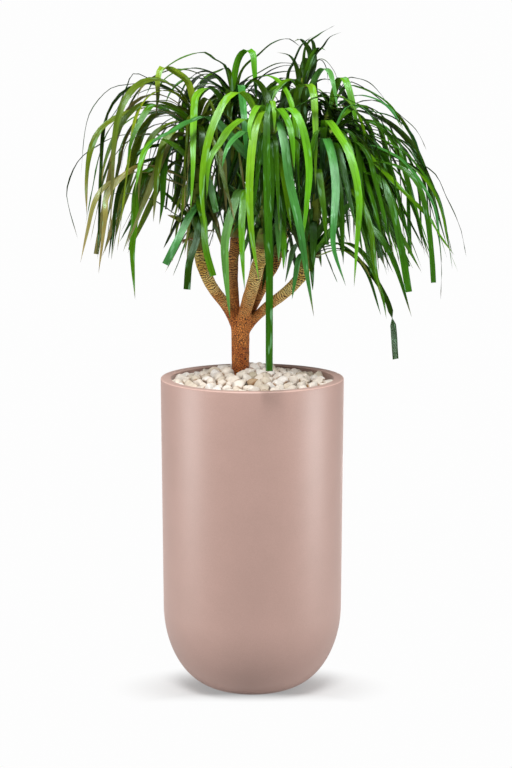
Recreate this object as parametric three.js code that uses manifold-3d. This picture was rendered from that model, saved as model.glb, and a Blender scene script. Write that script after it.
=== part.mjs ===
// A branched ponytail palm in a tall planter with a round bottom, topped with white pebbles.
// Millimetres, +Z up, +Y to the back. The origin is the middle of the planter's flat foot.
import * as THREE from 'three';
import { mergeVertices } from 'three/addons/utils/BufferGeometryUtils.js';
import Module from 'manifold-3d';

const wasm = await Module();
wasm.setup();

// ---- Driving dimensions ----

// Clearance between pieces that touch.
const GAP = 0.3;

// Planter: a slightly tapered wall on an elliptical bottom with a small flat foot.
const POT_HEIGHT = 692;
const POT_TOP_RADIUS = 200;
const POT_SHOULDER_RADIUS = 198;
const POT_SHOULDER_HEIGHT = 180;
const POT_FOOT_RADIUS = 80;
const POT_WALL = 22;
const POT_EDGE = 3;
const POT_SIDES = 40;
const OUTSIDE_STEPS = 6;
const INSIDE_STEPS = 3;

// Soil and pebbles.
const SOIL_TOP = 655;
const BED_EDGE_TOP = 670;
const BED_MIDDLE_TOP = 698;
const FILL_SIDES = 20;
const BED_STEPS = 2;
const PEBBLE_COUNT = 104;
const PEBBLE_SIDES = 5;
const PEBBLE_RADIUS = 11.6;
const PEBBLE_SPREAD = 163;
const PEBBLE_JITTER = 1;
const PEBBLE_SIZE_JITTER = 0.07;
const PEBBLE_WIDTH_SHARE = 0.88;
const PEBBLE_SHAPE_JITTER = 0.09;
const PEBBLE_TILT = 0.25;

// Trunk: a straight column that stands in a plain hole in the soil.
const TRUNK = { x: -26, y: 25, radius: 19.5, sides: 12, root: 480, fork: 798, crotch: 14 };
const BRANCH_SIDES = 10;
const STEM_SIDES = 6;
const STEM_TIP_RADIUS = 6;

// Limbs: centre lines from the fork to the tip of the leafy stem. The first `bare` points
// belong to the bare branch and the last of them carries the leafy stem. `ceiling` is the
// height that the head's arching leaves stay under, `reach` how far they spread, and `lean`
// the way that most of them point, in degrees from +X.
const LIMBS = [
  {
    name: 'left', base: 11, end: 14, bare: 5, leaves: 48, ceiling: 1335, reach: 285, lean: 180,
    line: [
      [-27, 25, 780], [-57, 18, 846], [-85, 8, 886], [-103, 0, 925], [-112, -10, 972],
      [-115, -20, 1110], [-116, -28, 1245],
    ],
  },
  {
    name: 'back_left', base: 12, end: 12, bare: 5, leaves: 46, ceiling: 1385, reach: 300, lean: 150,
    line: [
      [-27, 28, 780], [-38, 36, 835], [-43, 55, 890], [-42, 68, 945], [-37, 77, 990],
      [-38, 85, 1150], [-44, 90, 1300],
    ],
  },
  {
    name: 'front', base: 14, end: 14.5, bare: 5, leaves: 38, ceiling: 1300, reach: 275, lean: 270,
    line: [
      [-25, 24, 775], [-15, 10, 835], [-3, -8, 880], [10, -28, 930], [22, -52, 982],
      [30, -90, 1110], [38, -122, 1235],
    ],
  },
  {
    name: 'top', base: 11, end: 11, bare: 5, leaves: 44, ceiling: 1425, reach: 285, lean: 100,
    line: [
      [-22, 28, 780], [-3, 32, 834], [15, 38, 870], [34, 45, 908], [54, 50, 950],
      [76, 55, 1090], [112, 60, 1335],
    ],
  },
  {
    name: 'right', base: 10, end: 13.5, bare: 6, leaves: 46, ceiling: 1285, reach: 285, lean: -10,
    line: [
      [-24, 24, 770], [-5, 21, 806], [34, 12, 846], [72, 0, 877], [98, -9, 905],
      [113, -20, 937], [140, -40, 1079], [168, -58, 1225],
    ],
  },
  {
    name: 'back_right', base: 10, end: 11, bare: 4, leaves: 44, ceiling: 1345, reach: 300, lean: 30,
    line: [
      [18, 40, 872], [28, 66, 915], [48, 90, 960], [75, 108, 1005], [110, 124, 1100],
      [146, 138, 1195], [182, 148, 1290],
    ],
  },
];

// Leaf blades: a keeled strap with its ribs cut at these parts of its length.
const STATIONS = [0, 0.16, 0.34, 0.54, 0.78, 1];
const LINE_STEPS = 50;
const BLADE_KEEL = 2;
const ROOT_PART = 0.22;
const TAPER_PART = 0.45;
const CUT_WIDTH_SHARE = 0.85;

// Leaves that grow by the rule, from the foot of the leafy stem to its tip: their width and
// length, the slopes in degrees at which they rise and fall, the part of the length that they
// bend over, their twist in degrees, and how the first slope and length are drawn apart.
const LEAFY_PART = [0.06, 0.94];
const TIP_CROWDING = 0.75;
const WIDTH_RANGE = [10, 17];
const LENGTH_RANGE = [380, 640];
const LENGTH_SHARE = [0.88, 1.12];
const RISE_RANGE = [38, 70];
const RISE_SPREAD = 24;
const FALL_RANGE = [60, 88];
const BEND_RANGE = [0.55, 0.85];
const TWIST_SPREAD = 110;
const CUT_LEAVES = 0.08;
const ROOT_OFFSET = -8;

// Which way they point: a golden angle apart, drawn apart further with each try, started at
// another angle on each head, and drawn towards the head's lean by this share of a radian.
const GOLDEN_ANGLE = 137.508;
const HEAD_ANGLE = 50;
const AZIMUTH_SPREAD = 40;
const AZIMUTH_SPREAD_STEP = 10;
const LEAN = 0.6;

// A leaf that leaves the crown's outline or its head's reach is made flatter, bent tighter or
// shortened in small steps. Each one's reach is a share of the head's.
const REACH_SHARE = [0.7, 1.2];
const TIP_SPREAD = 60;
const FLATTER = 6;
const TIGHTER = 0.04;
const SHORTER = 0.95;
const TIGHTEST_BEND = 0.4;
const SHORTEST = 150;

// The crown's outline as it shows from the eye, in front: x and height, on the plane through
// the planter's axis, of what leaves stay under and of the lowest that their tips hang. It is
// open round the branches and deepest at both sides.
const EYE = { distance: 3500, height: 1256 };
const CROWN_TOP = [[-400, 1210], [-300, 1300], [-200, 1368], [-110, 1388], [50, 1380],
  [95, 1420], [140, 1420], [190, 1345], [320, 1238], [405, 1135], [460, 1030]];
const CROWN_FOOT = [[-400, 985], [-345, 945], [-260, 920], [-235, 1055], [-190, 1055],
  [-100, 1005], [90, 995], [175, 985], [215, 960], [260, 905], [370, 905], [460, 960]];

// How far leaves stay from another head's and from their own head's, past their roots, with
// the step and the share of the half width at which a blade is tested.
const CLEARANCE = 9;
const OWN_CLEARANCE = 8;
const CROWDED = 32;
const SAMPLE_STEP = 10;
const SAMPLE_SIDE = 0.65;
const TRIES = 14;

// Long leaves placed by hand: the head, the place of the root along its leafy stem, the
// width, how far the blade is turned towards the front in degrees, whether its end is cut
// blunt, and the points that it runs through after the root.
const PLACED = [
  ['left', 0.93, 9, 0, 0, [-140, -50, 1305], [-190, -70, 1325], [-255, -85, 1320],
    [-295, -95, 1310], [-330, -105, 1270], [-345, -110, 1225], [-355, -110, 1135]],
  ['left', 0.62, 11, 0, 0, [-185, -5, 1210], [-280, 10, 1215], [-335, 20, 1190], [-375, 30, 1160],
    [-400, 35, 1105], [-400, 40, 1065], [-380, 40, 990]],
  ['back_left', 0.92, 13, 20, 0, [-55, 70, 1355], [-80, 55, 1375], [-105, 45, 1390],
    [-145, 35, 1380], [-180, 25, 1360], [-210, 20, 1330], [-235, 20, 1280]],
  ['left', 0.88, 13, 30, 0, [-135, -15, 1290], [-195, 0, 1320], [-250, 10, 1345],
    [-270, 15, 1310], [-295, 20, 1260], [-330, 20, 1225]],
  ['left', 0.97, 16, 60, 0, [-130, -50, 1315], [-150, -65, 1340], [-185, -75, 1355],
    [-195, -85, 1330], [-195, -90, 1295], [-200, -90, 1250]],
  ['left', 0.85, 18, 40, 0, [-135, -60, 1265], [-190, -85, 1275], [-250, -110, 1265],
    [-305, -125, 1235], [-330, -140, 1190], [-340, -145, 1125], [-340, -150, 1050]],
  ['left', 0.8, 16, 40, 0, [-150, -75, 1265], [-210, -115, 1285], [-255, -150, 1255],
    [-285, -170, 1200], [-300, -185, 1155], [-305, -190, 1115]],
  ['left', 0.75, 17, 45, 0, [-135, -80, 1250], [-180, -130, 1275], [-205, -165, 1275],
    [-230, -190, 1235], [-245, -205, 1195], [-250, -210, 1150]],
  ['front', 0.55, 20, 60, 0, [-75, -140, 1245], [-125, -180, 1245], [-160, -210, 1225],
    [-190, -225, 1210], [-215, -230, 1185]],
  ['left', 0.6, 16, 60, 0, [-150, -85, 1185], [-190, -140, 1210], [-215, -180, 1190],
    [-225, -205, 1160], [-230, -225, 1130], [-235, -230, 1100]],
  ['left', 0.45, 15, 45, 0, [-185, -60, 1125], [-245, -90, 1140], [-300, -115, 1115],
    [-325, -135, 1080], [-340, -145, 1020], [-355, -150, 955]],
  ['left', 0.5, 15, 45, 0, [-175, -70, 1140], [-230, -110, 1155], [-280, -140, 1120],
    [-300, -160, 1085], [-300, -175, 1050], [-315, -180, 935]],
  ['left', 0.52, 18, 50, 0, [-175, -50, 1140], [-215, -75, 1145], [-240, -95, 1105],
    [-245, -110, 1040], [-250, -115, 970], [-245, -120, 875]],
  ['left', 0.28, 15, 0, 0, [-145, -40, 1040], [-190, -65, 1070], [-215, -80, 1085],
    [-255, -85, 1095], [-295, -90, 1095]],
  ['left', 0.4, 20, 60, 1, [-115, -60, 1070], [-130, -90, 1050], [-145, -110, 1020],
    [-160, -125, 990], [-180, -130, 950]],
  ['left', 0.35, 19, 60, 1, [-115, -75, 1050], [-115, -115, 1005], [-130, -140, 955],
    [-135, -150, 900]],
  ['left', 0.45, 18, 60, 1, [-110, -85, 1070], [-100, -130, 1040], [-95, -160, 985],
    [-80, -170, 930]],
  ['back_left', 0.8, 17, 70, 0, [-80, 5, 1310], [-115, -65, 1300], [-120, -120, 1250],
    [-120, -160, 1195], [-120, -180, 1145], [-125, -190, 1060]],
  ['front', 0.85, 17, 60, 0, [-10, -155, 1295], [-45, -190, 1295], [-70, -215, 1255],
    [-90, -235, 1195], [-100, -245, 1110], [-90, -250, 1000]],
  ['front', 0.72, 17, 60, 0, [-5, -160, 1245], [-40, -200, 1235], [-65, -230, 1200],
    [-85, -250, 1165], [-90, -255, 1090]],
  ['front', 0.62, 18, 60, 0, [-5, -165, 1220], [-30, -215, 1215], [-50, -245, 1190],
    [-60, -255, 1150]],
  ['back_left', 0.9, 17, 80, 0, [-25, -5, 1320], [-20, -75, 1290], [-15, -115, 1235],
    [-10, -130, 1140]],
  ['front', 0.93, 18, 80, 0, [25, -160, 1265], [10, -195, 1245], [0, -220, 1190],
    [-5, -240, 1110], [0, -250, 1020], [15, -255, 925]],
  ['front', 0.98, 14, 80, 0, [20, -165, 1275], [5, -190, 1265], [-5, -210, 1230], [0, -215, 1190]],
  ['front', 0.96, 19, 90, 1, [35, -165, 1280], [30, -195, 1240], [30, -220, 1130],
    [35, -240, 990], [35, -250, 860], [35, -255, 745]],
  ['front', 0.99, 12, 90, 0, [40, -160, 1285], [45, -185, 1265], [45, -190, 1220]],
  ['front', 0.9, 19, 80, 0, [50, -160, 1250], [65, -195, 1205], [75, -220, 1130],
    [95, -240, 1040], [110, -250, 945], [125, -255, 855]],
  ['front', 0.94, 16, 80, 0, [50, -175, 1270], [70, -210, 1250], [80, -235, 1210],
    [85, -240, 1145]],
  ['front', 0.88, 17, 70, 0, [55, -150, 1265], [85, -180, 1265], [105, -200, 1220],
    [115, -215, 1150], [110, -225, 1080], [100, -230, 990]],
  ['top', 0.6, 18, 75, 0, [95, -5, 1295], [110, -60, 1320], [125, -100, 1310], [130, -125, 1245],
    [130, -145, 1175], [130, -150, 1105]],
  ['right', 0.7, 18, 60, 0, [150, -110, 1245], [175, -165, 1220], [200, -205, 1170],
    [215, -230, 1090], [210, -250, 1000], [205, -255, 915]],
  ['right', 0.62, 19, 60, 0, [150, -105, 1210], [165, -155, 1170], [170, -190, 1105],
    [165, -220, 1045], [165, -235, 990], [190, -240, 915]],
  ['front', 0.25, 20, 60, 0, [-20, -105, 1105], [-40, -135, 1065], [-55, -160, 1005],
    [-55, -175, 955], [-50, -185, 895], [-45, -190, 840]],
  ['front', 0.3, 16, 70, 0, [-10, -135, 1105], [-20, -175, 1055], [-20, -200, 985],
    [-15, -210, 905]],
  ['front', 0.45, 16, 70, 0, [50, -120, 1075], [55, -145, 1010], [55, -150, 955]],
  ['front', 0.35, 16, 70, 0, [50, -120, 1050], [65, -140, 1010], [65, -150, 940]],
  ['back_left', 0.97, 16, 60, 0, [-35, 70, 1360], [-20, 50, 1390], [0, 40, 1390], [5, 30, 1350],
    [10, 30, 1280]],
  ['back_left', 0.88, 14, 0, 0, [-25, 130, 1350], [15, 160, 1390], [45, 180, 1415],
    [80, 195, 1425], [110, 200, 1405]],
  ['back_left', 0.8, 14, 0, 0, [-20, 120, 1325], [15, 145, 1350], [55, 165, 1370],
    [90, 175, 1370], [125, 180, 1360]],
  ['top', 0.9, 13, 0, 0, [100, 125, 1350], [85, 165, 1385], [55, 180, 1395]],
  ['top', 0.97, 11, 0, 0, [115, 95, 1400], [145, 115, 1430], [180, 120, 1450]],
  ['top', 0.93, 13, 0, 0, [130, 35, 1375], [150, 15, 1400], [165, 5, 1420], [190, 0, 1430]],
  ['top', 0.85, 15, 40, 0, [140, 5, 1345], [160, -30, 1350], [170, -55, 1320], [180, -60, 1265]],
  ['top', 0.8, 15, 40, 0, [100, 0, 1320], [75, -45, 1330], [50, -70, 1305], [35, -80, 1265]],
  ['back_left', 0.85, 14, 30, 0, [-50, 75, 1350], [-75, 65, 1350], [-105, 60, 1335],
    [-130, 60, 1305]],
  ['back_left', 0.7, 13, 0, 0, [-65, 115, 1305], [-100, 135, 1320], [-140, 145, 1310],
    [-170, 150, 1270]],
  ['back_right', 0.85, 17, 50, 0, [185, 105, 1325], [200, 75, 1335], [215, 55, 1290],
    [225, 45, 1240], [235, 40, 1205]],
  ['back_right', 0.9, 12, 0, 0, [205, 135, 1325], [240, 130, 1320], [290, 125, 1285],
    [335, 125, 1250], [365, 120, 1220], [385, 120, 1180]],
  ['right', 0.93, 15, 0, 0, [200, -35, 1275], [255, -15, 1265], [305, 0, 1250], [345, 10, 1210],
    [375, 20, 1130], [400, 20, 1085]],
  ['back_right', 0.6, 11, 0, 0, [260, 105, 1205], [345, 90, 1165], [400, 75, 1130],
    [425, 65, 1080], [455, 60, 1015], [470, 60, 950]],
  ['right', 0.6, 13, 20, 0, [225, -55, 1185], [310, -65, 1165], [370, -70, 1115],
    [400, -75, 1050], [415, -80, 980], [435, -80, 930]],
  ['right', 0.72, 19, 30, 0, [205, -75, 1205], [265, -95, 1150], [320, -110, 1095],
    [365, -120, 1050], [390, -130, 1010], [420, -130, 970]],
  ['right', 0.55, 15, 50, 1, [225, -80, 1155], [295, -110, 1155], [340, -130, 1120],
    [360, -145, 1055], [370, -155, 980], [375, -160, 915]],
  ['back_right', 0.4, 10, 0, 0, [280, 105, 1115], [360, 105, 1070], [405, 100, 1015],
    [420, 100, 935], [420, 100, 850]],
  ['right', 0.5, 19, 50, 1, [215, -90, 1135], [260, -130, 1130], [285, -160, 1080],
    [300, -180, 1015], [310, -195, 960], [320, -200, 900]],
  ['right', 0.06, 17, 40, 1, [155, -45, 975], [195, -60, 975], [230, -75, 950], [270, -80, 900],
    [295, -90, 840], [305, -90, 745]],
  ['right', 0.12, 13, 40, 0, [165, -40, 990], [210, -50, 970], [245, -60, 925], [275, -60, 835]],
  ['right', 0.3, 15, 50, 0, [205, -90, 1050], [245, -135, 1030], [290, -160, 965],
    [330, -170, 845]],
  ['right', 0.4, 16, 60, 0, [185, -95, 1105], [215, -140, 1095], [240, -175, 1035],
    [250, -195, 960], [265, -200, 885]],
];

// ---- Small helpers ----

const UP = new THREE.Vector3(0, 0, 1);
const DOWN = new THREE.Vector3(0, 0, -1);
const vector = ([x, y, z]) => new THREE.Vector3(x, y, z);
const radians = THREE.MathUtils.degToRad;
const mix = THREE.MathUtils.lerp;

// A number from 0 to 1 that depends only on the whole numbers given.
function draw(...labels) {
  let hash = 2166136261;
  for (const label of labels) {
    hash = Math.imul(hash ^ label, 16777619) >>> 0;
    hash = Math.imul(hash ^ (hash >>> 15), 2246822519) >>> 0;
    hash = (hash ^ (hash >>> 13)) >>> 0;
  }
  return hash / 4294967296;
}

function curveThrough(points) {
  return new THREE.CatmullRomCurve3(points, false, 'catmullrom', 0.5);
}

// One closed body from a geometry whose seams still have doubled vertices.
function toSolid(geometry) {
  geometry.deleteAttribute('normal');
  geometry.deleteAttribute('uv');
  const welded = mergeVertices(geometry, 1e-3);
  const corners = welded.index.array;
  const kept = [];
  for (let i = 0; i < corners.length; i += 3) {
    const [a, b, c] = [corners[i], corners[i + 1], corners[i + 2]];
    if (a !== b && b !== c && c !== a) kept.push(a, b, c);
  }
  return new wasm.Manifold(new wasm.Mesh({
    numProp: 3,
    vertProperties: new Float32Array(welded.attributes.position.array),
    triVerts: new Uint32Array(kept),
  }));
}

function toGeometry(solid) {
  const mesh = solid.getMesh();
  const geometry = new THREE.BufferGeometry();
  geometry.setAttribute('position', new THREE.BufferAttribute(mesh.vertProperties, 3));
  geometry.setIndex(new THREE.BufferAttribute(mesh.triVerts, 1));
  geometry.computeVertexNormals();
  return geometry;
}

// A body turned round the vertical axis. Its profile starts and ends on that axis.
function turned(profile, sides) {
  const points = profile.map(([radius, height]) => new THREE.Vector2(radius, height));
  return new THREE.LatheGeometry(points, sides).rotateX(Math.PI / 2);
}

// A closed body through rings with the same number of points each. It starts in a point
// where a root is given and ends in one where a tip is given, and is capped flat otherwise.
// Each quad between two rings is split so that it bulges outwards, however the rings twist.
function loft(rings, { root, tip } = {}) {
  const count = rings[0].length;
  const points = rings.flat();
  const faces = [];
  const end = (rings.length - 1) * count;
  const close = (first, point, turn) => {
    if (point) points.push(point);
    const apex = points.length - 1;
    for (let k = 0; k < count; k++) {
      const [a, b] = turn ? [k, (k + 1) % count] : [(k + 1) % count, k];
      if (point) faces.push(apex, first + a, first + b);
      else if (k > 0 && k < count - 1) faces.push(first, first + a, first + b);
    }
  };
  for (let ring = 0; ring < end; ring += count) {
    for (let k = 0; k < count; k++) {
      const a = ring + k;
      const b = ring + ((k + 1) % count);
      const facing = new THREE.Triangle(points[a], points[b], points[b + count]);
      const normal = facing.getNormal(new THREE.Vector3());
      const hollow = normal.dot(points[a + count].clone().sub(points[a])) > 0;
      if (hollow) faces.push(a, b, a + count, b, b + count, a + count);
      else faces.push(a, b, b + count, a, b + count, a + count);
    }
  }
  close(0, root, false);
  close(end, tip, true);
  const geometry = new THREE.BufferGeometry().setFromPoints(points);
  geometry.setIndex(faces);
  return geometry;
}

// A ring of points round `centre`, square to `along`, which runs mostly upwards.
function ringAround(centre, along, radius, sides) {
  const across = new THREE.Vector3(0, 1, 0).cross(along).normalize();
  const back = along.clone().cross(across).normalize();
  return Array.from({ length: sides }, (_, k) => {
    const angle = (k / sides) * 2 * Math.PI;
    return centre.clone()
      .addScaledVector(across, radius * Math.cos(angle))
      .addScaledVector(back, radius * Math.sin(angle));
  });
}

// ---- Planter, soil and pebbles ----

// The quarter ellipse between a flat foot and an upright wall.
function bottomCurve(foot, wall, low, high, steps) {
  return Array.from({ length: steps + 1 }, (_, k) => {
    const angle = (k / steps) * (Math.PI / 2);
    return [foot + (wall - foot) * Math.sin(angle), low + (high - low) * (1 - Math.cos(angle))];
  });
}

const innerFoot = POT_FOOT_RADIUS - POT_WALL / 2;
const innerShoulder = POT_SHOULDER_RADIUS - POT_WALL;
const innerTop = POT_TOP_RADIUS - POT_WALL;

// The inside of the planter, moved inwards by `inset`, from its floor up to `height`.
function innerProfile(inset, height) {
  const rise = (height - POT_SHOULDER_HEIGHT) / (POT_HEIGHT - POT_SHOULDER_HEIGHT);
  const wallRadius = mix(innerShoulder, innerTop, rise);
  return [
    [0, POT_WALL + inset],
    ...bottomCurve(innerFoot - inset, innerShoulder - inset, POT_WALL + inset,
      POT_SHOULDER_HEIGHT, INSIDE_STEPS),
    [wallRadius - inset, height],
  ];
}

function makePot() {
  const edge = POT_HEIGHT - POT_EDGE;
  const outside = [
    [0, 0],
    ...bottomCurve(POT_FOOT_RADIUS, POT_SHOULDER_RADIUS, 0, POT_SHOULDER_HEIGHT,
      OUTSIDE_STEPS),
    [POT_TOP_RADIUS, edge],
    [POT_TOP_RADIUS - POT_EDGE, POT_HEIGHT],
    [innerTop + POT_EDGE, POT_HEIGHT],
  ];
  return turned([...outside, ...innerProfile(0, edge).reverse()], POT_SIDES);
}

function trunkHole(bottom, top) {
  const radius = TRUNK.radius + GAP;
  const hole = new THREE.CylinderGeometry(radius, radius, top - bottom, TRUNK.sides);
  hole.rotateX(Math.PI / 2).translate(TRUNK.x, TRUNK.y, (top + bottom) / 2);
  return toSolid(hole);
}

function makeSoil() {
  const body = turned([...innerProfile(GAP, SOIL_TOP), [0, SOIL_TOP]], FILL_SIDES);
  const hole = trunkHole(TRUNK.root - GAP, SOIL_TOP + GAP);
  return toGeometry(toSolid(body).subtract(hole));
}

// The height of the pebble bed at a distance from the planter's axis.
function bedHeight(distance) {
  return mix(BED_MIDDLE_TOP, BED_EDGE_TOP, (distance / innerTop) ** 2);
}

// A pebble's outline as shares of its size, from its top down: radius and height above the
// bed, and the depth of the point that it ends in, inside the bed.
const PEBBLE_RINGS = [[0.6, 0.85], [1, 0.2]];
const PEBBLE_DEPTH = 1.1;

function makePebbles() {
  const wall = innerShoulder - GAP;
  const dome = Array.from({ length: BED_STEPS + 1 }, (_, k) => {
    const radius = wall * (1 - k / BED_STEPS);
    return [radius, bedHeight(radius)];
  });
  const bed = toSolid(turned([[0, SOIL_TOP + GAP], [wall, SOIL_TOP + GAP], ...dome], FILL_SIDES));
  const bodies = [bed];
  for (let k = 0; k < PEBBLE_COUNT; k++) {
    const jitter = (what) => (draw(1, k, what) - 0.5) * 2;
    const radius = PEBBLE_SPREAD * Math.sqrt((k + 0.5) / PEBBLE_COUNT);
    const angle = radians(k * GOLDEN_ANGLE);
    const x = radius * Math.cos(angle) + PEBBLE_JITTER * jitter(1);
    const y = radius * Math.sin(angle) + PEBBLE_JITTER * jitter(2);
    const size = PEBBLE_RADIUS * (1 + PEBBLE_SIZE_JITTER * jitter(3));
    if (Math.hypot(x - TRUNK.x, y - TRUNK.y) < TRUNK.radius + size * 0.6) continue;
    const rings = PEBBLE_RINGS.map(([share, height]) => (
      ringAround(new THREE.Vector3(0, 0, height * size), DOWN, share * size, PEBBLE_SIDES)));
    const pebble = loft(rings, { tip: new THREE.Vector3(0, 0, -PEBBLE_DEPTH * size) });
    pebble.scale(1, PEBBLE_WIDTH_SHARE + PEBBLE_SHAPE_JITTER * jitter(4),
      1 + PEBBLE_SHAPE_JITTER * jitter(5));
    pebble.rotateX(PEBBLE_TILT * jitter(6)).rotateY(PEBBLE_TILT * jitter(7));
    pebble.rotateZ(Math.PI * jitter(8));
    pebble.translate(x, y, bedHeight(Math.hypot(x, y)));
    bodies.push(toSolid(pebble));
  }
  const hole = trunkHole(SOIL_TOP, BED_MIDDLE_TOP + 2 * PEBBLE_RADIUS);
  return toGeometry(wasm.Manifold.union(bodies).subtract(hole));
}

// ---- Trunk, branches and leafy stems ----

// A point and a direction along a limb, counted in its own points from the first, 0.
function onLimb(limb, place) {
  const curve = curveThrough(limb.line.map(vector));
  const part = place / (limb.line.length - 1);
  return { point: curve.getPoint(part), along: curve.getTangent(part) };
}

// A point and a direction on the leafy stem, from 0 at its seat to 1 at its tip.
function onStem(limb, share) {
  const seat = limb.bare - 1;
  return onLimb(limb, seat + share * (limb.line.length - 1 - seat));
}

function stemRadius(limb, share) {
  return mix(limb.end, STEM_TIP_RADIUS, share ** 2);
}

function branchRadius(limb, place) {
  return mix(limb.base, limb.end, place / (limb.bare - 1));
}

function makeBranch(limb) {
  const rings = [];
  for (let place = 0; place <= limb.bare - 1; place++) {
    const { point, along } = onLimb(limb, place);
    rings.push(ringAround(point, along, branchRadius(limb, place), BRANCH_SIDES));
  }
  return toSolid(loft(rings));
}

function makeTrunk() {
  const level = (height, radius) => ringAround(
    new THREE.Vector3(TRUNK.x, TRUNK.y, height), UP, radius, TRUNK.sides);
  const column = toSolid(loft([
    level(TRUNK.root, TRUNK.radius),
    level(TRUNK.fork, TRUNK.radius),
    level(TRUNK.fork + TRUNK.crotch, TRUNK.radius - TRUNK.crotch / 2),
  ]));
  return toGeometry(wasm.Manifold.union([column, ...LIMBS.map(makeBranch)]));
}

const STEM_SHARES = [0, 0.35, 0.7, 1];

function makeStem(limb) {
  const rings = STEM_SHARES.map((share) => {
    const { point, along } = onStem(limb, share);
    if (share === 0) point.addScaledVector(along, GAP);
    return ringAround(point, along, stemRadius(limb, share), STEM_SIDES);
  });
  return toSolid(loft(rings));
}

// ---- Leaves ----

// Half the blade's width at a part of its length: drawn out to a point at both ends, or
// full to the end where it is cut.
function halfWidth(leaf, part) {
  const root = Math.min(1, part / ROOT_PART);
  const past = Math.max(0, part - TAPER_PART) / (1 - TAPER_PART);
  return (leaf.width / 2) * root * (leaf.cut ? CUT_WIDTH_SHARE : 1 - past ** 2);
}

// The blade's points along its length, with its direction and its sideways direction there.
function frames(leaf) {
  return STATIONS.map((part) => {
    const here = Math.round(part * LINE_STEPS);
    const point = leaf.line[here];
    const before = leaf.line[Math.max(0, here - 2)];
    const after = leaf.line[Math.min(LINE_STEPS, here + 2)];
    const along = after.clone().sub(before).normalize();
    const across = leaf.across.clone().applyAxisAngle(along, leaf.twist * part);
    across.addScaledVector(along, -across.dot(along)).normalize();
    return { point, along, across, half: halfWidth(leaf, part) };
  });
}

function makeBlade(leaf) {
  const rings = frames(leaf).slice(1).map(({ point, along, across, half }) => {
    const under = along.clone().cross(across).multiplyScalar(-BLADE_KEEL);
    return [
      point.clone().addScaledVector(across, half),
      point.clone().addScaledVector(across, -half),
      point.clone().add(under),
    ];
  });
  const root = leaf.line[0];
  if (leaf.cut) return toSolid(loft(rings, { root }));
  return toSolid(loft(rings.slice(0, -1), { root, tip: leaf.line[LINE_STEPS] }));
}

// Points spread over the blade, close enough together to find another blade that crosses.
function coverage(leaf) {
  const ribs = frames(leaf);
  const root = leaf.line[0];
  const points = [];
  for (let k = 1; k < ribs.length; k++) {
    const [from, to] = [ribs[k - 1], ribs[k]];
    const steps = Math.ceil(from.point.distanceTo(to.point) / SAMPLE_STEP);
    for (let step = 0; step < steps; step++) {
      const part = (step + 0.5) / steps;
      const middle = from.point.clone().lerp(to.point, part);
      const across = from.across.clone().lerp(to.across, part);
      const side = mix(from.half, to.half, part) * SAMPLE_SIDE;
      for (const shift of [-side, 0, side]) {
        const at = middle.clone().addScaledVector(across, shift);
        points.push({ at, crowded: at.distanceTo(root) < CROWDED });
      }
    }
  }
  return points;
}

// A leaf placed by hand.
function placedLeaf([head, share, width, turn, cut, ...points]) {
  const limb = LIMBS.find(({ name }) => name === head);
  const root = onStem(limb, share).point;
  const line = curveThrough([root, ...points.map(vector)]).getSpacedPoints(LINE_STEPS);
  const tip = line[LINE_STEPS];
  const heading = Math.atan2(tip.y - root.y, tip.x - root.x);
  const toFront = Math.atan2(-Math.cos(heading), -Math.sin(heading));
  const facing = heading + THREE.MathUtils.clamp(toFront, -radians(turn), radians(turn));
  const across = new THREE.Vector3(-Math.sin(facing), Math.cos(facing), 0);
  return { limb, line, width, across, twist: 0, cut: cut === 1 };
}

// A leaf by the rule: it leaves the stem at an angle, arches over and hangs.
function ruledLeaf(limb, index, attempt) {
  const head = LIMBS.indexOf(limb);
  const pick = (what) => draw(2, head, index, attempt, what);
  const share = mix(...LEAFY_PART, ((index + 0.5) / limb.leaves) ** TIP_CROWDING);
  const spread = AZIMUTH_SPREAD + AZIMUTH_SPREAD_STEP * attempt;
  let azimuth = radians(index * GOLDEN_ANGLE + (pick(1) - 0.5) * spread + head * HEAD_ANGLE);
  azimuth += LEAN * Math.sin(radians(limb.lean) - azimuth);
  let rise = mix(...RISE_RANGE, share) + (pick(2) - 0.5) * RISE_SPREAD;
  let length = mix(...LENGTH_RANGE, share) * mix(...LENGTH_SHARE, pick(3));
  const fall = -mix(...FALL_RANGE, pick(4));
  let bend = mix(...BEND_RANGE, pick(5));
  const root = onStem(limb, share).point;
  root.x += ROOT_OFFSET * Math.cos(azimuth);
  root.y += ROOT_OFFSET * Math.sin(azimuth);
  const low = pick(6) * TIP_SPREAD;
  const reach = mix(...REACH_SHARE, pick(10)) * limb.reach;
  let line = arch(root, azimuth, rise, fall, bend, length);
  while (length > SHORTEST) {
    const tip = line[LINE_STEPS];
    const over = line.some((point) => point.z > limb.ceiling || above(CROWN_TOP, point) > 0);
    const wide = Math.hypot(tip.x - root.x, tip.y - root.y) > reach;
    if (over && rise > 0) rise -= FLATTER;
    else if (wide && !over && bend > TIGHTEST_BEND) bend -= TIGHTER;
    else if (over || wide || above(CROWN_FOOT, tip) < low) length *= SHORTER;
    else break;
    line = arch(root, azimuth, rise, fall, bend, length);
  }
  const across = new THREE.Vector3(-Math.sin(azimuth), Math.cos(azimuth), 0);
  const width = mix(...WIDTH_RANGE, pick(7));
  const twist = radians((pick(8) - 0.5) * TWIST_SPREAD);
  return { limb, line, width, across, twist, cut: pick(9) < CUT_LEAVES };
}

function arch(root, azimuth, rise, fall, bend, length) {
  const line = [root];
  const step = length / LINE_STEPS;
  for (let k = 0; k < LINE_STEPS; k++) {
    const part = Math.min(1, (k + 0.5) / LINE_STEPS / bend);
    const angle = radians(rise + (fall - rise) * part * part * (3 - 2 * part));
    line.push(line[k].clone().add(new THREE.Vector3(
      step * Math.cos(angle) * Math.cos(azimuth),
      step * Math.cos(angle) * Math.sin(azimuth),
      step * Math.sin(angle))));
  }
  return line;
}

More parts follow.
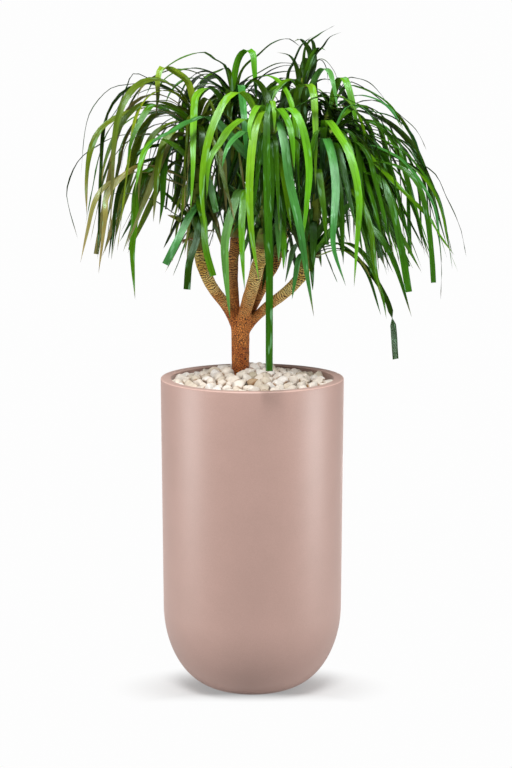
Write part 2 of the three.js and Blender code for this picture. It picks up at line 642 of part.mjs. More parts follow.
// How far a point shows above an outline of the crown.
function above(outline, { x, y, z }) {
  const nearer = EYE.distance / (EYE.distance + y);
  const last = outline.length - 1;
  const across = THREE.MathUtils.clamp(x * nearer, outline[0][0], outline[last][0]);
  const next = Math.max(1, outline.findIndex(([edge]) => edge >= across));
  const [[left, from], [right, to]] = outline.slice(next - 1, next + 1);
  const height = mix(from, to, (across - left) / (right - left));
  return EYE.height + (z - EYE.height) * nearer - height;
}

// ---- Keeping heads clear of each other ----

const taken = new Map();
const cell = (value) => Math.floor(value / CLEARANCE) + 500;
const cellKey = (i, j, k) => (i * 1000 + j) * 1000 + k;

function claim(points, owner) {
  for (const { at, crowded } of points) {
    for (let i = -1; i <= 1; i++) {
      for (let j = -1; j <= 1; j++) {
        for (let k = -1; k <= 1; k++) {
          const key = cellKey(cell(at.x) + i, cell(at.y) + j, cell(at.z) + k);
          if (!taken.has(key)) taken.set(key, []);
          taken.get(key).push({ at, crowded, owner });
        }
      }
    }
  }
}

function isFree(points, owner) {
  return points.every(({ at, crowded }) => {
    const near = taken.get(cellKey(cell(at.x), cell(at.y), cell(at.z))) ?? [];
    return near.every((other) => {
      const apart = other.at.distanceTo(at);
      if (other.owner !== owner) return apart > CLEARANCE;
      return crowded || other.crowded || apart > OWN_CLEARANCE;
    });
  });
}

// The surface of a limb, as rings of points at steps along its branch and its leafy stem.
const BRANCH_RING_STEP = 0.2;
const STEM_RING_STEP = 0.03;

function claimLimb(limb) {
  const claimRing = ({ point, along }, radius, owner) => {
    const ring = ringAround(point, along, radius, BRANCH_SIDES);
    claim(ring.map((at) => ({ at, crowded: true })), owner);
  };
  for (let place = 0; place < limb.bare - 1 - BRANCH_RING_STEP; place += BRANCH_RING_STEP) {
    claimRing(onLimb(limb, place), branchRadius(limb, place), 'trunk');
  }
  for (let share = 0; share <= 1; share += STEM_RING_STEP) {
    claimRing(onStem(limb, share), stemRadius(limb, share), limb);
  }
}

function growLeaves() {
  const leaves = PLACED.map(placedLeaf);
  LIMBS.forEach(claimLimb);
  leaves.forEach((leaf) => claim(coverage(leaf), leaf.limb));
  const most = Math.max(...LIMBS.map((limb) => limb.leaves));
  for (let index = most - 1; index >= 0; index--) {
    for (const limb of LIMBS) {
      if (index >= limb.leaves) continue;
      for (let attempt = 0; attempt < TRIES; attempt++) {
        const leaf = ruledLeaf(limb, index, attempt);
        const points = coverage(leaf);
        if (!isFree(points, limb)) continue;
        claim(points, limb);
        leaves.push(leaf);
        break;
      }
    }
  }
  return leaves;
}

function makeCrown(limb, leaves) {
  const blades = leaves.filter((leaf) => leaf.limb === limb).map(makeBlade);
  return toGeometry(wasm.Manifold.union([makeStem(limb), ...blades]));
}

// ---- The object ----

const FINISH = {
  clay: { color: 0xbd9c93, roughness: 0.7, metalness: 0 },
  soil: { color: 0x3a2a20, roughness: 0.95, metalness: 0 },
  stone: { color: 0xe6dfd4, roughness: 0.6, metalness: 0 },
  bark: { color: 0xb07a4a, roughness: 0.85, metalness: 0 },
  leaf: { color: 0x3f8a2f, roughness: 0.5, metalness: 0 },
};

const group = new THREE.Group();

function addNode(name, geometry, finish) {
  const mesh = new THREE.Mesh(geometry, new THREE.MeshStandardMaterial(FINISH[finish]));
  mesh.name = name;
  group.add(mesh);
}

const leaves = growLeaves();
addNode('pot', makePot(), 'clay');
addNode('soil', makeSoil(), 'soil');
addNode('pebbles', makePebbles(), 'stone');
addNode('trunk', makeTrunk(), 'bark');
for (const limb of LIMBS) addNode(`crown_${limb.name}`, makeCrown(limb, leaves), 'leaf');

export default group;
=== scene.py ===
"""The looks of a branched ponytail palm in a tall planter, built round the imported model.

Plant and planter sizes below are in millimetres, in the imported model's frame; meshes are
scaled to metres when they are made.
"""
import math
from dataclasses import dataclass

import bmesh
import bpy
import numpy as np
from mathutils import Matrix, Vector, kdtree, noise


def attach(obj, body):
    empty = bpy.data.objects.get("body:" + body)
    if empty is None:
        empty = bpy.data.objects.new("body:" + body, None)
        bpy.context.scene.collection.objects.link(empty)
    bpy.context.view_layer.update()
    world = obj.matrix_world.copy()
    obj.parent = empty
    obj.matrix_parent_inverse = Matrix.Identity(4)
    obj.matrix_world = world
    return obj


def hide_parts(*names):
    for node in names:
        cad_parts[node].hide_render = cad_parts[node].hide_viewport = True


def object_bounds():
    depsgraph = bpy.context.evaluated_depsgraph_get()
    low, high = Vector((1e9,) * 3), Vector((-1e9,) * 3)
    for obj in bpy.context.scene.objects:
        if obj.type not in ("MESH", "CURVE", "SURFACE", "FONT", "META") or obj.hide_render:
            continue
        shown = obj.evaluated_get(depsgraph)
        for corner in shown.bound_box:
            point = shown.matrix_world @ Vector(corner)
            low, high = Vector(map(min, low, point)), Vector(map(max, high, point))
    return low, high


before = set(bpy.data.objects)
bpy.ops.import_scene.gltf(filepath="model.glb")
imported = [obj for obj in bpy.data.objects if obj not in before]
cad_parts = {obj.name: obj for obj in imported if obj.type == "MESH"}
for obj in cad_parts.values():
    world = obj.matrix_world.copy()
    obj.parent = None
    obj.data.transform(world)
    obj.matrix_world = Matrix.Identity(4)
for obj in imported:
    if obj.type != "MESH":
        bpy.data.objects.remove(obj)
cad_box = np.array(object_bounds())

MM = 0.001

# ---- Camera, at the photograph's place ----

CAMERA_PLACE = (0.0082, -3.5, 1.2557)
CAMERA_PITCH = 9.397
CAMERA_LENS = 76.03

# ---- Floor and light ----

# How bright the world is to the camera, as light and in mirror images.
BACKDROP, SURROUND, MIRRORED = 0.985, 0.26, 0.03

# The floor's shadow shows round a shifted, squeezed middle, fades to white over the distances
# given, from the first share of white to the second, and is white in front of the planter.
FLOOR_RADIUS, FLOOR_SEEN, FLOOR_LIT = 12, (0.52, 0.52, 0.52, 1), (0.5, 0.5, 0.5, 1)
SHADOW_SHIFT, SHADOW_SQUEEZE = (0, 0.05, 0), (0.8, 1.6, 1)
SHADOW_FADE, SHADOW_FRONT = (0.1, 0.26, 0.3, 1.0), (-0.15, -0.05)

# Place, target, width and height in metres, power in watts, and whether surfaces mirror it.
# The back one lights only what the others don't reach, from below the rim.
SOFTBOXES = {
    "key": ((-0.2, -2.4, 4.2), (0, 0, 1.0), (1.6, 1.2), 235, True),
    "left": ((-2.15, -0.5, 0.36), (0, 0, 0.3), (1.0, 0.7), 22, True),
    "right": ((2.15, -0.4, 0.36), (0, 0, 0.3), (1.0, 0.7), 25, True),
    "back": ((0.4, 2.5, 0.34), (0, 0, 0.75), (1.8, 0.66), 60, False),
}

# ---- Colours as 8-bit sRGB, as in plain light unless marked as painted light or shade; the leaves' are further down ----

CLAY_TINTS = ((169, 139, 129), (173, 142, 132))
# The rim colour is painted light on the rim's flat; the inside colour is painted shade on the
# inner wall.
CLAY_RIM_PAINTED_LIGHT, CLAY_INSIDE_PAINTED_SHADE = (206, 173, 162), (150, 124, 114)
SOIL_TINTS = ((38, 28, 21), (92, 70, 52))
WHITES = ((226, 217, 206), (221, 210, 196), (233, 227, 220), (211, 198, 180), (224, 213, 200))
ODD_PEBBLES = (((2, -68, 692), (176, 148, 116)), ((-6, -26, 698), (190, 178, 156)))
# The bed under the pebbles is dark brown as painted shade in the gaps between them.
BED_PAINTED_SHADE = (86, 66, 46)
# The first is painted shade where pebbles come close; the stains and pores are the stone's own
# colour.
STONE_PAINTED_SHADE, STONE_STAIN, STONE_PORE = (142, 104, 66), (168, 134, 96), (150, 132, 112)
CORK_TINTS, CORK_CRACK = ((190, 100, 32), (226, 142, 62)), (62, 24, 4)
SKIN_TINTS, SKIN_RING = ((220, 158, 66), (255, 230, 148)), (46, 18, 2)
YOUNG_SKIN, WARM_SKIN = (168, 152, 54), (172, 98, 36)
# The first is painted sheen, pale patches standing in for glossy highlights; the second tints the
# light that passes through.
LEAF_PAINTED_SHEEN, LEAF_GLOW = (156, 214, 164), (255, 255, 150)

# ---- Planter ----

POT_TOP_RADIUS, POT_HEIGHT = 200, 692
POT_SHOULDER_RADIUS, POT_SHOULDER_HEIGHT = 198, 180
POT_FOOT_RADIUS = 80
POT_WALL = 22
POT_EDGE = 3
POT_SIDES = 160
POT_BOWL_STEPS, POT_SIDE_STEPS, POT_EDGE_STEPS = 28, 12, 5
POT_INSIDE_TOP, POT_INSIDE_STEP, POT_INSIDE_BOWL_STEPS = 660, 20, 12
POT_RIM_RINGS = 4

# ---- Soil and pebbles ----

SOIL_TOP = 655
BED_EDGE_TOP, BED_MIDDLE_TOP, BED_CURVE = 674, 692, 1.3
BED_HEAP, BED_HEAP_RISE, BED_HEAP_REACH = (-12, 55), 18, 75
BED_UNDER_PEBBLES, BED_GAP, BED_SIDES = 14, 0.5, 96
BED_LOW_RINGS, BED_TOP_RINGS = (0.4, 0.8), (1, 0.85, 0.7, 0.55, 0.4, 0.2)
PEBBLE_COUNT, PEBBLE_SEED = 150, 11
PEBBLE_FINE, PEBBLE_COARSE = 4, 3
PEBBLE_RADII = (11.4, 15.2)

# How the pebbles settle: how near the wall and how high over the bed they start, how they
# fall and push, and the shares of a radius at which they touch each other, the wall, the
# trunk and the bed, which they may sink into or lie above by as much as given.
DROP_MARGIN, DROP_HEIGHT = 14, 30
SETTLE_STEPS, SETTLE_FALL, SETTLE_PUSH = 500, 0.5, 0.25
TOUCH, WALL_TOUCH, TRUNK_TOUCH, BED_TOUCH = 0.97, 0.95, 0.9, 0.8
BED_SINK, BED_LIFT = 12, 9

# How a pebble is worn: its flats, how far out they lie, how crisp their edges are, the most
# that a corner sticks out, and the shares of its length that are its other two sizes.
FLATS, FLAT_DEPTHS, FLAT_CRISPNESS, CORNER = 11, (0.8, 1.08), 10, 1.2
PEBBLE_DEPTHS, PEBBLE_HEIGHTS = (0.82, 0.98), (0.7, 0.9)

# Pebbles this far under the bed are made coarser; a surface this near another pebble gets painted
# shade.
BURIED = 4
PAINTED_SHADE_REACH, PAINTED_SHADE_CURVE = 4, 0.55

# ---- Trunk, branches and leafy stems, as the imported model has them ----

TRUNK = {"x": -26, "y": 25, "radius": 19.5, "root": 480, "fork": 798}
TRUNK_LEVELS = (480, 600, 700, 770, 798, 812)
TRUNK_GIRTHS = (1, 1, 0.98, 1.02, 1.05, 0.72)
TRUNK_SIDES, BRANCH_SIDES, BRANCH_RINGS = 32, 28, 24
GROWN_VOXEL, GROWN_SMOOTHING, GROWN_ROUNDS = 1.35, 0.5, 6
FORK_HEIGHT, FORK_REACH, FORK_SMOOTHING, FORK_ROUNDS = 815, 26, 0.6, 60
STEM_TIP_RADIUS = 6
STEM_SIDES, STEM_RINGS, STEM_SCAR, STEM_SCAR_TURN = 20, 60, 0.08, 1.9
LIMB_SAMPLES, TRUNK_SAMPLE_STEP = 160, 2.0

# The cork of the trunk turns into ringed skin over this part of each branch. `WARM_LIMBS`
# says how brown the skin of a limb is. Lumps, wavering and grain have sizes in millimetres.
SKIN_PART = (0.2, 0.7)
WARM_LIMBS = {"back_left": 0.75, "top": 0.5, "back_right": 0.5}
RING_SPACING, RING_WAVER, RING_GRAIN, RING_DEPTH = 4.7, 1.1, 0.35, 0.7
LUMP_SIZE, WAVER_SIZE, GRAIN_SIZE = 22, 13, 3.2
LUMP_DEPTH, GRAIN_DEPTH = 0.7, 0.3

# Each limb's centre line runs from the fork to the tip of its leafy stem. The first `bare`
# points belong to the bare branch. `leaves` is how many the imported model's rule tries to
# grow, leaning towards `lean` degrees; `ceiling` and `reach` bound how they arch.
LIMBS = {
    "left": {
        "base": 11, "end": 14, "bare": 5, "leaves": 48, "ceiling": 1335, "reach": 285, "lean": 180,
        "line": [(-27, 25, 780), (-57, 18, 846), (-85, 8, 886), (-103, 0, 925),
                 (-112, -10, 972), (-115, -20, 1110), (-116, -28, 1245)],
    },
    "back_left": {
        "base": 12, "end": 12, "bare": 5, "leaves": 46, "ceiling": 1385, "reach": 300, "lean": 150,
        "line": [(-27, 28, 780), (-38, 36, 835), (-43, 55, 890), (-42, 68, 945),
                 (-37, 77, 990), (-38, 85, 1150), (-44, 90, 1300)],
    },
    "front": {
        "base": 14, "end": 14.5, "bare": 5, "leaves": 38, "ceiling": 1300, "reach": 275,
        "lean": 270,
        "line": [(-25, 24, 775), (-15, 10, 835), (-3, -8, 880), (10, -28, 930),
                 (22, -52, 982), (30, -90, 1110), (38, -122, 1235)],
    },
    "top": {
        "base": 11, "end": 11, "bare": 5, "leaves": 44, "ceiling": 1425, "reach": 285, "lean": 100,
        "line": [(-22, 28, 780), (-3, 32, 834), (15, 38, 870), (34, 45, 908),
                 (54, 50, 950), (76, 55, 1090), (112, 60, 1335)],
    },
    "right": {
        "base": 10, "end": 13.5, "bare": 6, "leaves": 46, "ceiling": 1285, "reach": 285,
        "lean": -10,
        "line": [(-24, 24, 770), (-5, 21, 806), (34, 12, 846), (72, 0, 877), (98, -9, 905),
                 (113, -20, 937), (140, -40, 1079), (168, -58, 1225)],
    },
    "back_right": {
        "base": 10, "end": 11, "bare": 4, "leaves": 44, "ceiling": 1345, "reach": 300, "lean": 30,
        "line": [(18, 40, 872), (28, 66, 915), (48, 90, 960), (75, 108, 1005),
                 (110, 124, 1100), (146, 138, 1195), (182, 148, 1290)],
    },
}
HEADS = list(LIMBS)

# ---- Leaves: the rule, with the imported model's names and values ----

STATIONS = (0, 0.16, 0.34, 0.54, 0.78, 1)
LINE_STEPS = 50
ROOT_PART = 0.22
TAPER_PART = 0.45
CUT_WIDTH_SHARE = 0.85
ROOT_OFFSET = -8
LEAFY_PART = (0.06, 0.94)
TIP_CROWDING = 0.75
WIDTH_RANGE = (10, 17)
LENGTH_RANGE, LENGTH_SHARE = (380, 640), (0.88, 1.12)
RISE_RANGE, RISE_SPREAD = (38, 70), 24
FALL_RANGE = (60, 88)
BEND_RANGE = (0.55, 0.85)
TWIST_SPREAD = 110
CUT_LEAVES = 0.08
LEAN = 0.6
GOLDEN_ANGLE = 137.508
HEAD_ANGLE = 50
AZIMUTH_SPREAD, AZIMUTH_SPREAD_STEP = 40, 10
TRIES = 14
TIP_SPREAD = 60
REACH_SHARE = (0.7, 1.2)
FLATTER, TIGHTER, SHORTER = 6, 0.04, 0.95
TIGHTEST_BEND, SHORTEST = 0.4, 150
CLEARANCE, OWN_CLEARANCE = 9, 8
CROWDED = 32
SAMPLE_STEP, SAMPLE_SIDE = 10, 0.65
BRANCH_RING_STEP, STEM_RING_STEP, LIMB_RING_SIDES = 0.2, 0.03, 10
BRANCH_CLEAR_END = 0.25

# The crown's outline as it shows from the eye, in front: x and height, on the plane through
# the planter's axis, of what leaves stay under and of the lowest that their tips hang. It is
# open round the branches and deepest at both sides.
EYE_DISTANCE, EYE_HEIGHT = 3500, 1256
CROWN_TOP = ((-400, 1210), (-300, 1300), (-200, 1368), (-110, 1388), (50, 1380), (95, 1420),
             (140, 1420), (190, 1345), (320, 1238), (405, 1135), (460, 1030))
CROWN_FOOT = ((-400, 985), (-345, 945), (-260, 920), (-235, 1055), (-190, 1055), (-100, 1005),
              (90, 995), (175, 985), (215, 960), (260, 905), (370, 905), (460, 960))

# The long leaves that stand out in the photograph: head, share of the root along its leafy
# stem, width, turn towards the front in degrees, whether the end is cut blunt, tint, and the
# points that the leaf runs through after its root. The points were picked by eye on the
# photograph, and a helper outside this file gave them their depth and turned them into
# millimetres, so this is that helper's output and not worked out here.
PLACED = [
    ("left", 0.93, 9, 0, 0, "dark", (-140, -50, 1305), (-190, -70, 1325), (-255, -85, 1320),
     (-295, -95, 1310), (-330, -105, 1270), (-345, -110, 1225), (-355, -110, 1135)),
    ("left", 0.62, 11, 0, 0, "dark", (-185, -5, 1210), (-280, 10, 1215), (-335, 20, 1190),
     (-375, 30, 1160), (-400, 35, 1105), (-400, 40, 1065), (-380, 40, 990)),
    ("back_left", 0.92, 13, 20, 0, "mid", (-55, 70, 1355), (-80, 55, 1375), (-105, 45, 1390),
     (-145, 35, 1380), (-180, 25, 1360), (-210, 20, 1330), (-235, 20, 1280)),
    ("left", 0.88, 13, 30, 0, "dark", (-135, -15, 1290), (-195, 0, 1320), (-250, 10, 1345),
     (-270, 15, 1310), (-295, 20, 1260), (-330, 20, 1225)),
    ("left", 0.97, 16, 60, 0, "yellow", (-130, -50, 1315), (-150, -65, 1340), (-185, -75, 1355),
     (-195, -85, 1330), (-195, -90, 1295), (-200, -90, 1250)),
    ("left", 0.85, 18, 40, 0, "olive", (-135, -60, 1265), (-190, -85, 1275), (-250, -110, 1265),
     (-305, -125, 1235), (-330, -140, 1190), (-340, -145, 1125), (-340, -150, 1050)),
    ("left", 0.8, 16, 40, 0, "olive", (-150, -75, 1265), (-210, -115, 1285), (-255, -150, 1255),
     (-285, -170, 1200), (-300, -185, 1155), (-305, -190, 1115)),
    ("left", 0.75, 17, 45, 0, "mid", (-135, -80, 1250), (-180, -130, 1275), (-205, -165, 1275),
     (-230, -190, 1235), (-245, -205, 1195), (-250, -210, 1150)),
    ("front", 0.55, 20, 60, 0, "blue", (-75, -140, 1245), (-125, -180, 1245), (-160, -210, 1225),
     (-190, -225, 1210), (-215, -230, 1185)),
    ("left", 0.6, 16, 60, 0, "bright", (-150, -85, 1185), (-190, -140, 1210), (-215, -180, 1190),
     (-225, -205, 1160), (-230, -225, 1130), (-235, -230, 1100)),
    ("left", 0.45, 15, 45, 0, "tan", (-185, -60, 1125), (-245, -90, 1140), (-300, -115, 1115),
     (-325, -135, 1080), (-340, -145, 1020), (-355, -150, 955)),
    ("left", 0.5, 15, 45, 0, "tan", (-175, -70, 1140), (-230, -110, 1155), (-280, -140, 1120),
     (-300, -160, 1085), (-300, -175, 1050), (-315, -180, 935)),
    ("left", 0.52, 18, 50, 0, "mid", (-175, -50, 1140), (-215, -75, 1145), (-240, -95, 1105),
     (-245, -110, 1040), (-250, -115, 970), (-245, -120, 875)),
    ("left", 0.28, 15, 0, 0, "dark", (-145, -40, 1040), (-190, -65, 1070), (-215, -80, 1085),
     (-255, -85, 1095), (-295, -90, 1095)),
    ("left", 0.4, 20, 60, 1, "blue", (-115, -60, 1070), (-130, -90, 1050), (-145, -110, 1020),
     (-160, -125, 990), (-180, -130, 950)),
    ("left", 0.35, 19, 60, 1, "dark", (-115, -75, 1050), (-115, -115, 1005), (-130, -140, 955),
     (-135, -150, 900)),
    ("left", 0.45, 18, 60, 1, "mid", (-110, -85, 1070), (-100, -130, 1040), (-95, -160, 985),
     (-80, -170, 930)),
    ("back_left", 0.8, 17, 70, 0, "lime", (-80, 5, 1310), (-115, -65, 1300), (-120, -120, 1250),
     (-120, -160, 1195), (-120, -180, 1145), (-125, -190, 1060)),
    ("front", 0.85, 17, 60, 0, "lime", (-10, -155, 1295), (-45, -190, 1295), (-70, -215, 1255),
     (-90, -235, 1195), (-100, -245, 1110), (-90, -250, 1000)),
    ("front", 0.72, 17, 60, 0, "lime", (-5, -160, 1245), (-40, -200, 1235), (-65, -230, 1200),
     (-85, -250, 1165), (-90, -255, 1090)),
    ("front", 0.62, 18, 60, 0, "blue", (-5, -165, 1220), (-30, -215, 1215), (-50, -245, 1190),
     (-60, -255, 1150)),
    ("back_left", 0.9, 17, 80, 0, "blue", (-25, -5, 1320), (-20, -75, 1290), (-15, -115, 1235),
     (-10, -130, 1140)),
    ("front", 0.93, 18, 80, 0, "lime", (25, -160, 1265), (10, -195, 1245), (0, -220, 1190),
     (-5, -240, 1110), (0, -250, 1020), (15, -255, 925)),
    ("front", 0.98, 14, 80, 0, "lime", (20, -165, 1275), (5, -190, 1265), (-5, -210, 1230),
     (0, -215, 1190)),
    ("front", 0.96, 19, 90, 1, "deep", (35, -165, 1280), (30, -195, 1240), (30, -220, 1130),
     (35, -240, 990), (35, -250, 860), (35, -255, 745)),
    ("front", 0.99, 12, 90, 0, "lime", (40, -160, 1285), (45, -185, 1265), (45, -190, 1220)),
    ("front", 0.9, 19, 80, 0, "blue", (50, -160, 1250), (65, -195, 1205), (75, -220, 1130),
     (95, -240, 1040), (110, -250, 945), (125, -255, 855)),
    ("front", 0.94, 16, 80, 0, "bright", (50, -175, 1270), (70, -210, 1250), (80, -235, 1210),
     (85, -240, 1145)),
    ("front", 0.88, 17, 70, 0, "bright", (55, -150, 1265), (85, -180, 1265), (105, -200, 1220),
     (115, -215, 1150), (110, -225, 1080), (100, -230, 990)),
    ("top", 0.6, 18, 75, 0, "lime", (95, -5, 1295), (110, -60, 1320), (125, -100, 1310),
     (130, -125, 1245), (130, -145, 1175), (130, -150, 1105)),
    ("right", 0.7, 18, 60, 0, "bright", (150, -110, 1245), (175, -165, 1220), (200, -205, 1170),
     (215, -230, 1090), (210, -250, 1000), (205, -255, 915)),
    ("right", 0.62, 19, 60, 0, "blue", (150, -105, 1210), (165, -155, 1170), (170, -190, 1105),
     (165, -220, 1045), (165, -235, 990), (190, -240, 915)),
    ("front", 0.25, 20, 60, 0, "gloss", (-20, -105, 1105), (-40, -135, 1065), (-55, -160, 1005),
     (-55, -175, 955), (-50, -185, 895), (-45, -190, 840)),
    ("front", 0.3, 16, 70, 0, "bright", (-10, -135, 1105), (-20, -175, 1055), (-20, -200, 985),
     (-15, -210, 905)),
    ("front", 0.45, 16, 70, 0, "gloss", (50, -120, 1075), (55, -145, 1010), (55, -150, 955)),
    ("front", 0.35, 16, 70, 0, "bright", (50, -120, 1050), (65, -140, 1010), (65, -150, 940)),
    ("back_left", 0.97, 16, 60, 0, "bright", (-35, 70, 1360), (-20, 50, 1390), (0, 40, 1390),
     (5, 30, 1350), (10, 30, 1280)),
    ("back_left", 0.88, 14, 0, 0, "dark", (-25, 130, 1350), (15, 160, 1390), (45, 180, 1415),
     (80, 195, 1425), (110, 200, 1405)),
    ("back_left", 0.8, 14, 0, 0, "dark", (-20, 120, 1325), (15, 145, 1350), (55, 165, 1370),
     (90, 175, 1370), (125, 180, 1360)),
    ("top", 0.9, 13, 0, 0, "dark", (100, 125, 1350), (85, 165, 1385), (55, 180, 1395)),
    ("top", 0.97, 11, 0, 0, "dark", (115, 95, 1400), (145, 115, 1430), (180, 120, 1450)),
    ("top", 0.93, 13, 0, 0, "dark", (130, 35, 1375), (150, 15, 1400), (165, 5, 1420),
     (190, 0, 1430)),
    ("top", 0.85, 15, 40, 0, "gloss", (140, 5, 1345), (160, -30, 1350), (170, -55, 1320),
     (180, -60, 1265)),
    ("top", 0.8, 15, 40, 0, "mid", (100, 0, 1320), (75, -45, 1330), (50, -70, 1305),
     (35, -80, 1265)),
    ("back_left", 0.85, 14, 30, 0, "mid", (-50, 75, 1350), (-75, 65, 1350), (-105, 60, 1335),
     (-130, 60, 1305)),
    ("back_left", 0.7, 13, 0, 0, "dark", (-65, 115, 1305), (-100, 135, 1320), (-140, 145, 1310),
     (-170, 150, 1270)),
    ("back_right", 0.85, 17, 50, 0, "bright", (185, 105, 1325), (200, 75, 1335), (215, 55, 1290),
     (225, 45, 1240), (235, 40, 1205)),
    ("back_right", 0.9, 12, 0, 0, "dark", (205, 135, 1325), (240, 130, 1320), (290, 125, 1285),
     (335, 125, 1250), (365, 120, 1220), (385, 120, 1180)),
    ("right", 0.93, 15, 0, 0, "blue", (200, -35, 1275), (255, -15, 1265), (305, 0, 1250),
     (345, 10, 1210), (375, 20, 1130), (400, 20, 1085)),
    ("back_right", 0.6, 11, 0, 0, "dark", (260, 105, 1205), (345, 90, 1165), (400, 75, 1130),
     (425, 65, 1080), (455, 60, 1015), (470, 60, 950)),
    ("right", 0.6, 13, 20, 0, "mid", (225, -55, 1185), (310, -65, 1165), (370, -70, 1115),
     (400, -75, 1050), (415, -80, 980), (435, -80, 930)),
    ("right", 0.72, 19, 30, 0, "mid", (205, -75, 1205), (265, -95, 1150), (320, -110, 1095),
     (365, -120, 1050), (390, -130, 1010), (420, -130, 970)),
    ("right", 0.55, 15, 50, 1, "deep", (225, -80, 1155), (295, -110, 1155), (340, -130, 1120),
     (360, -145, 1055), (370, -155, 980), (375, -160, 915)),
    ("back_right", 0.4, 10, 0, 0, "dark", (280, 105, 1115), (360, 105, 1070), (405, 100, 1015),
     (420, 100, 935), (420, 100, 850)),
    ("right", 0.5, 19, 50, 1, "deep", (215, -90, 1135), (260, -130, 1130), (285, -160, 1080),
     (300, -180, 1015), (310, -195, 960), (320, -200, 900)),
    ("right", 0.06, 17, 40, 1, "dark", (155, -45, 975), (195, -60, 975), (230, -75, 950),
     (270, -80, 900), (295, -90, 840), (305, -90, 745)),
    ("right", 0.12, 13, 40, 0, "deep", (165, -40, 990), (210, -50, 970), (245, -60, 925),
     (275, -60, 835)),
    ("right", 0.3, 15, 50, 0, "deep", (205, -90, 1050), (245, -135, 1030), (290, -160, 965),
     (330, -170, 845)),
    ("right", 0.4, 16, 60, 0, "mid", (185, -95, 1105), (215, -140, 1095), (240, -175, 1035),
     (250, -195, 960), (265, -200, 885)),
]

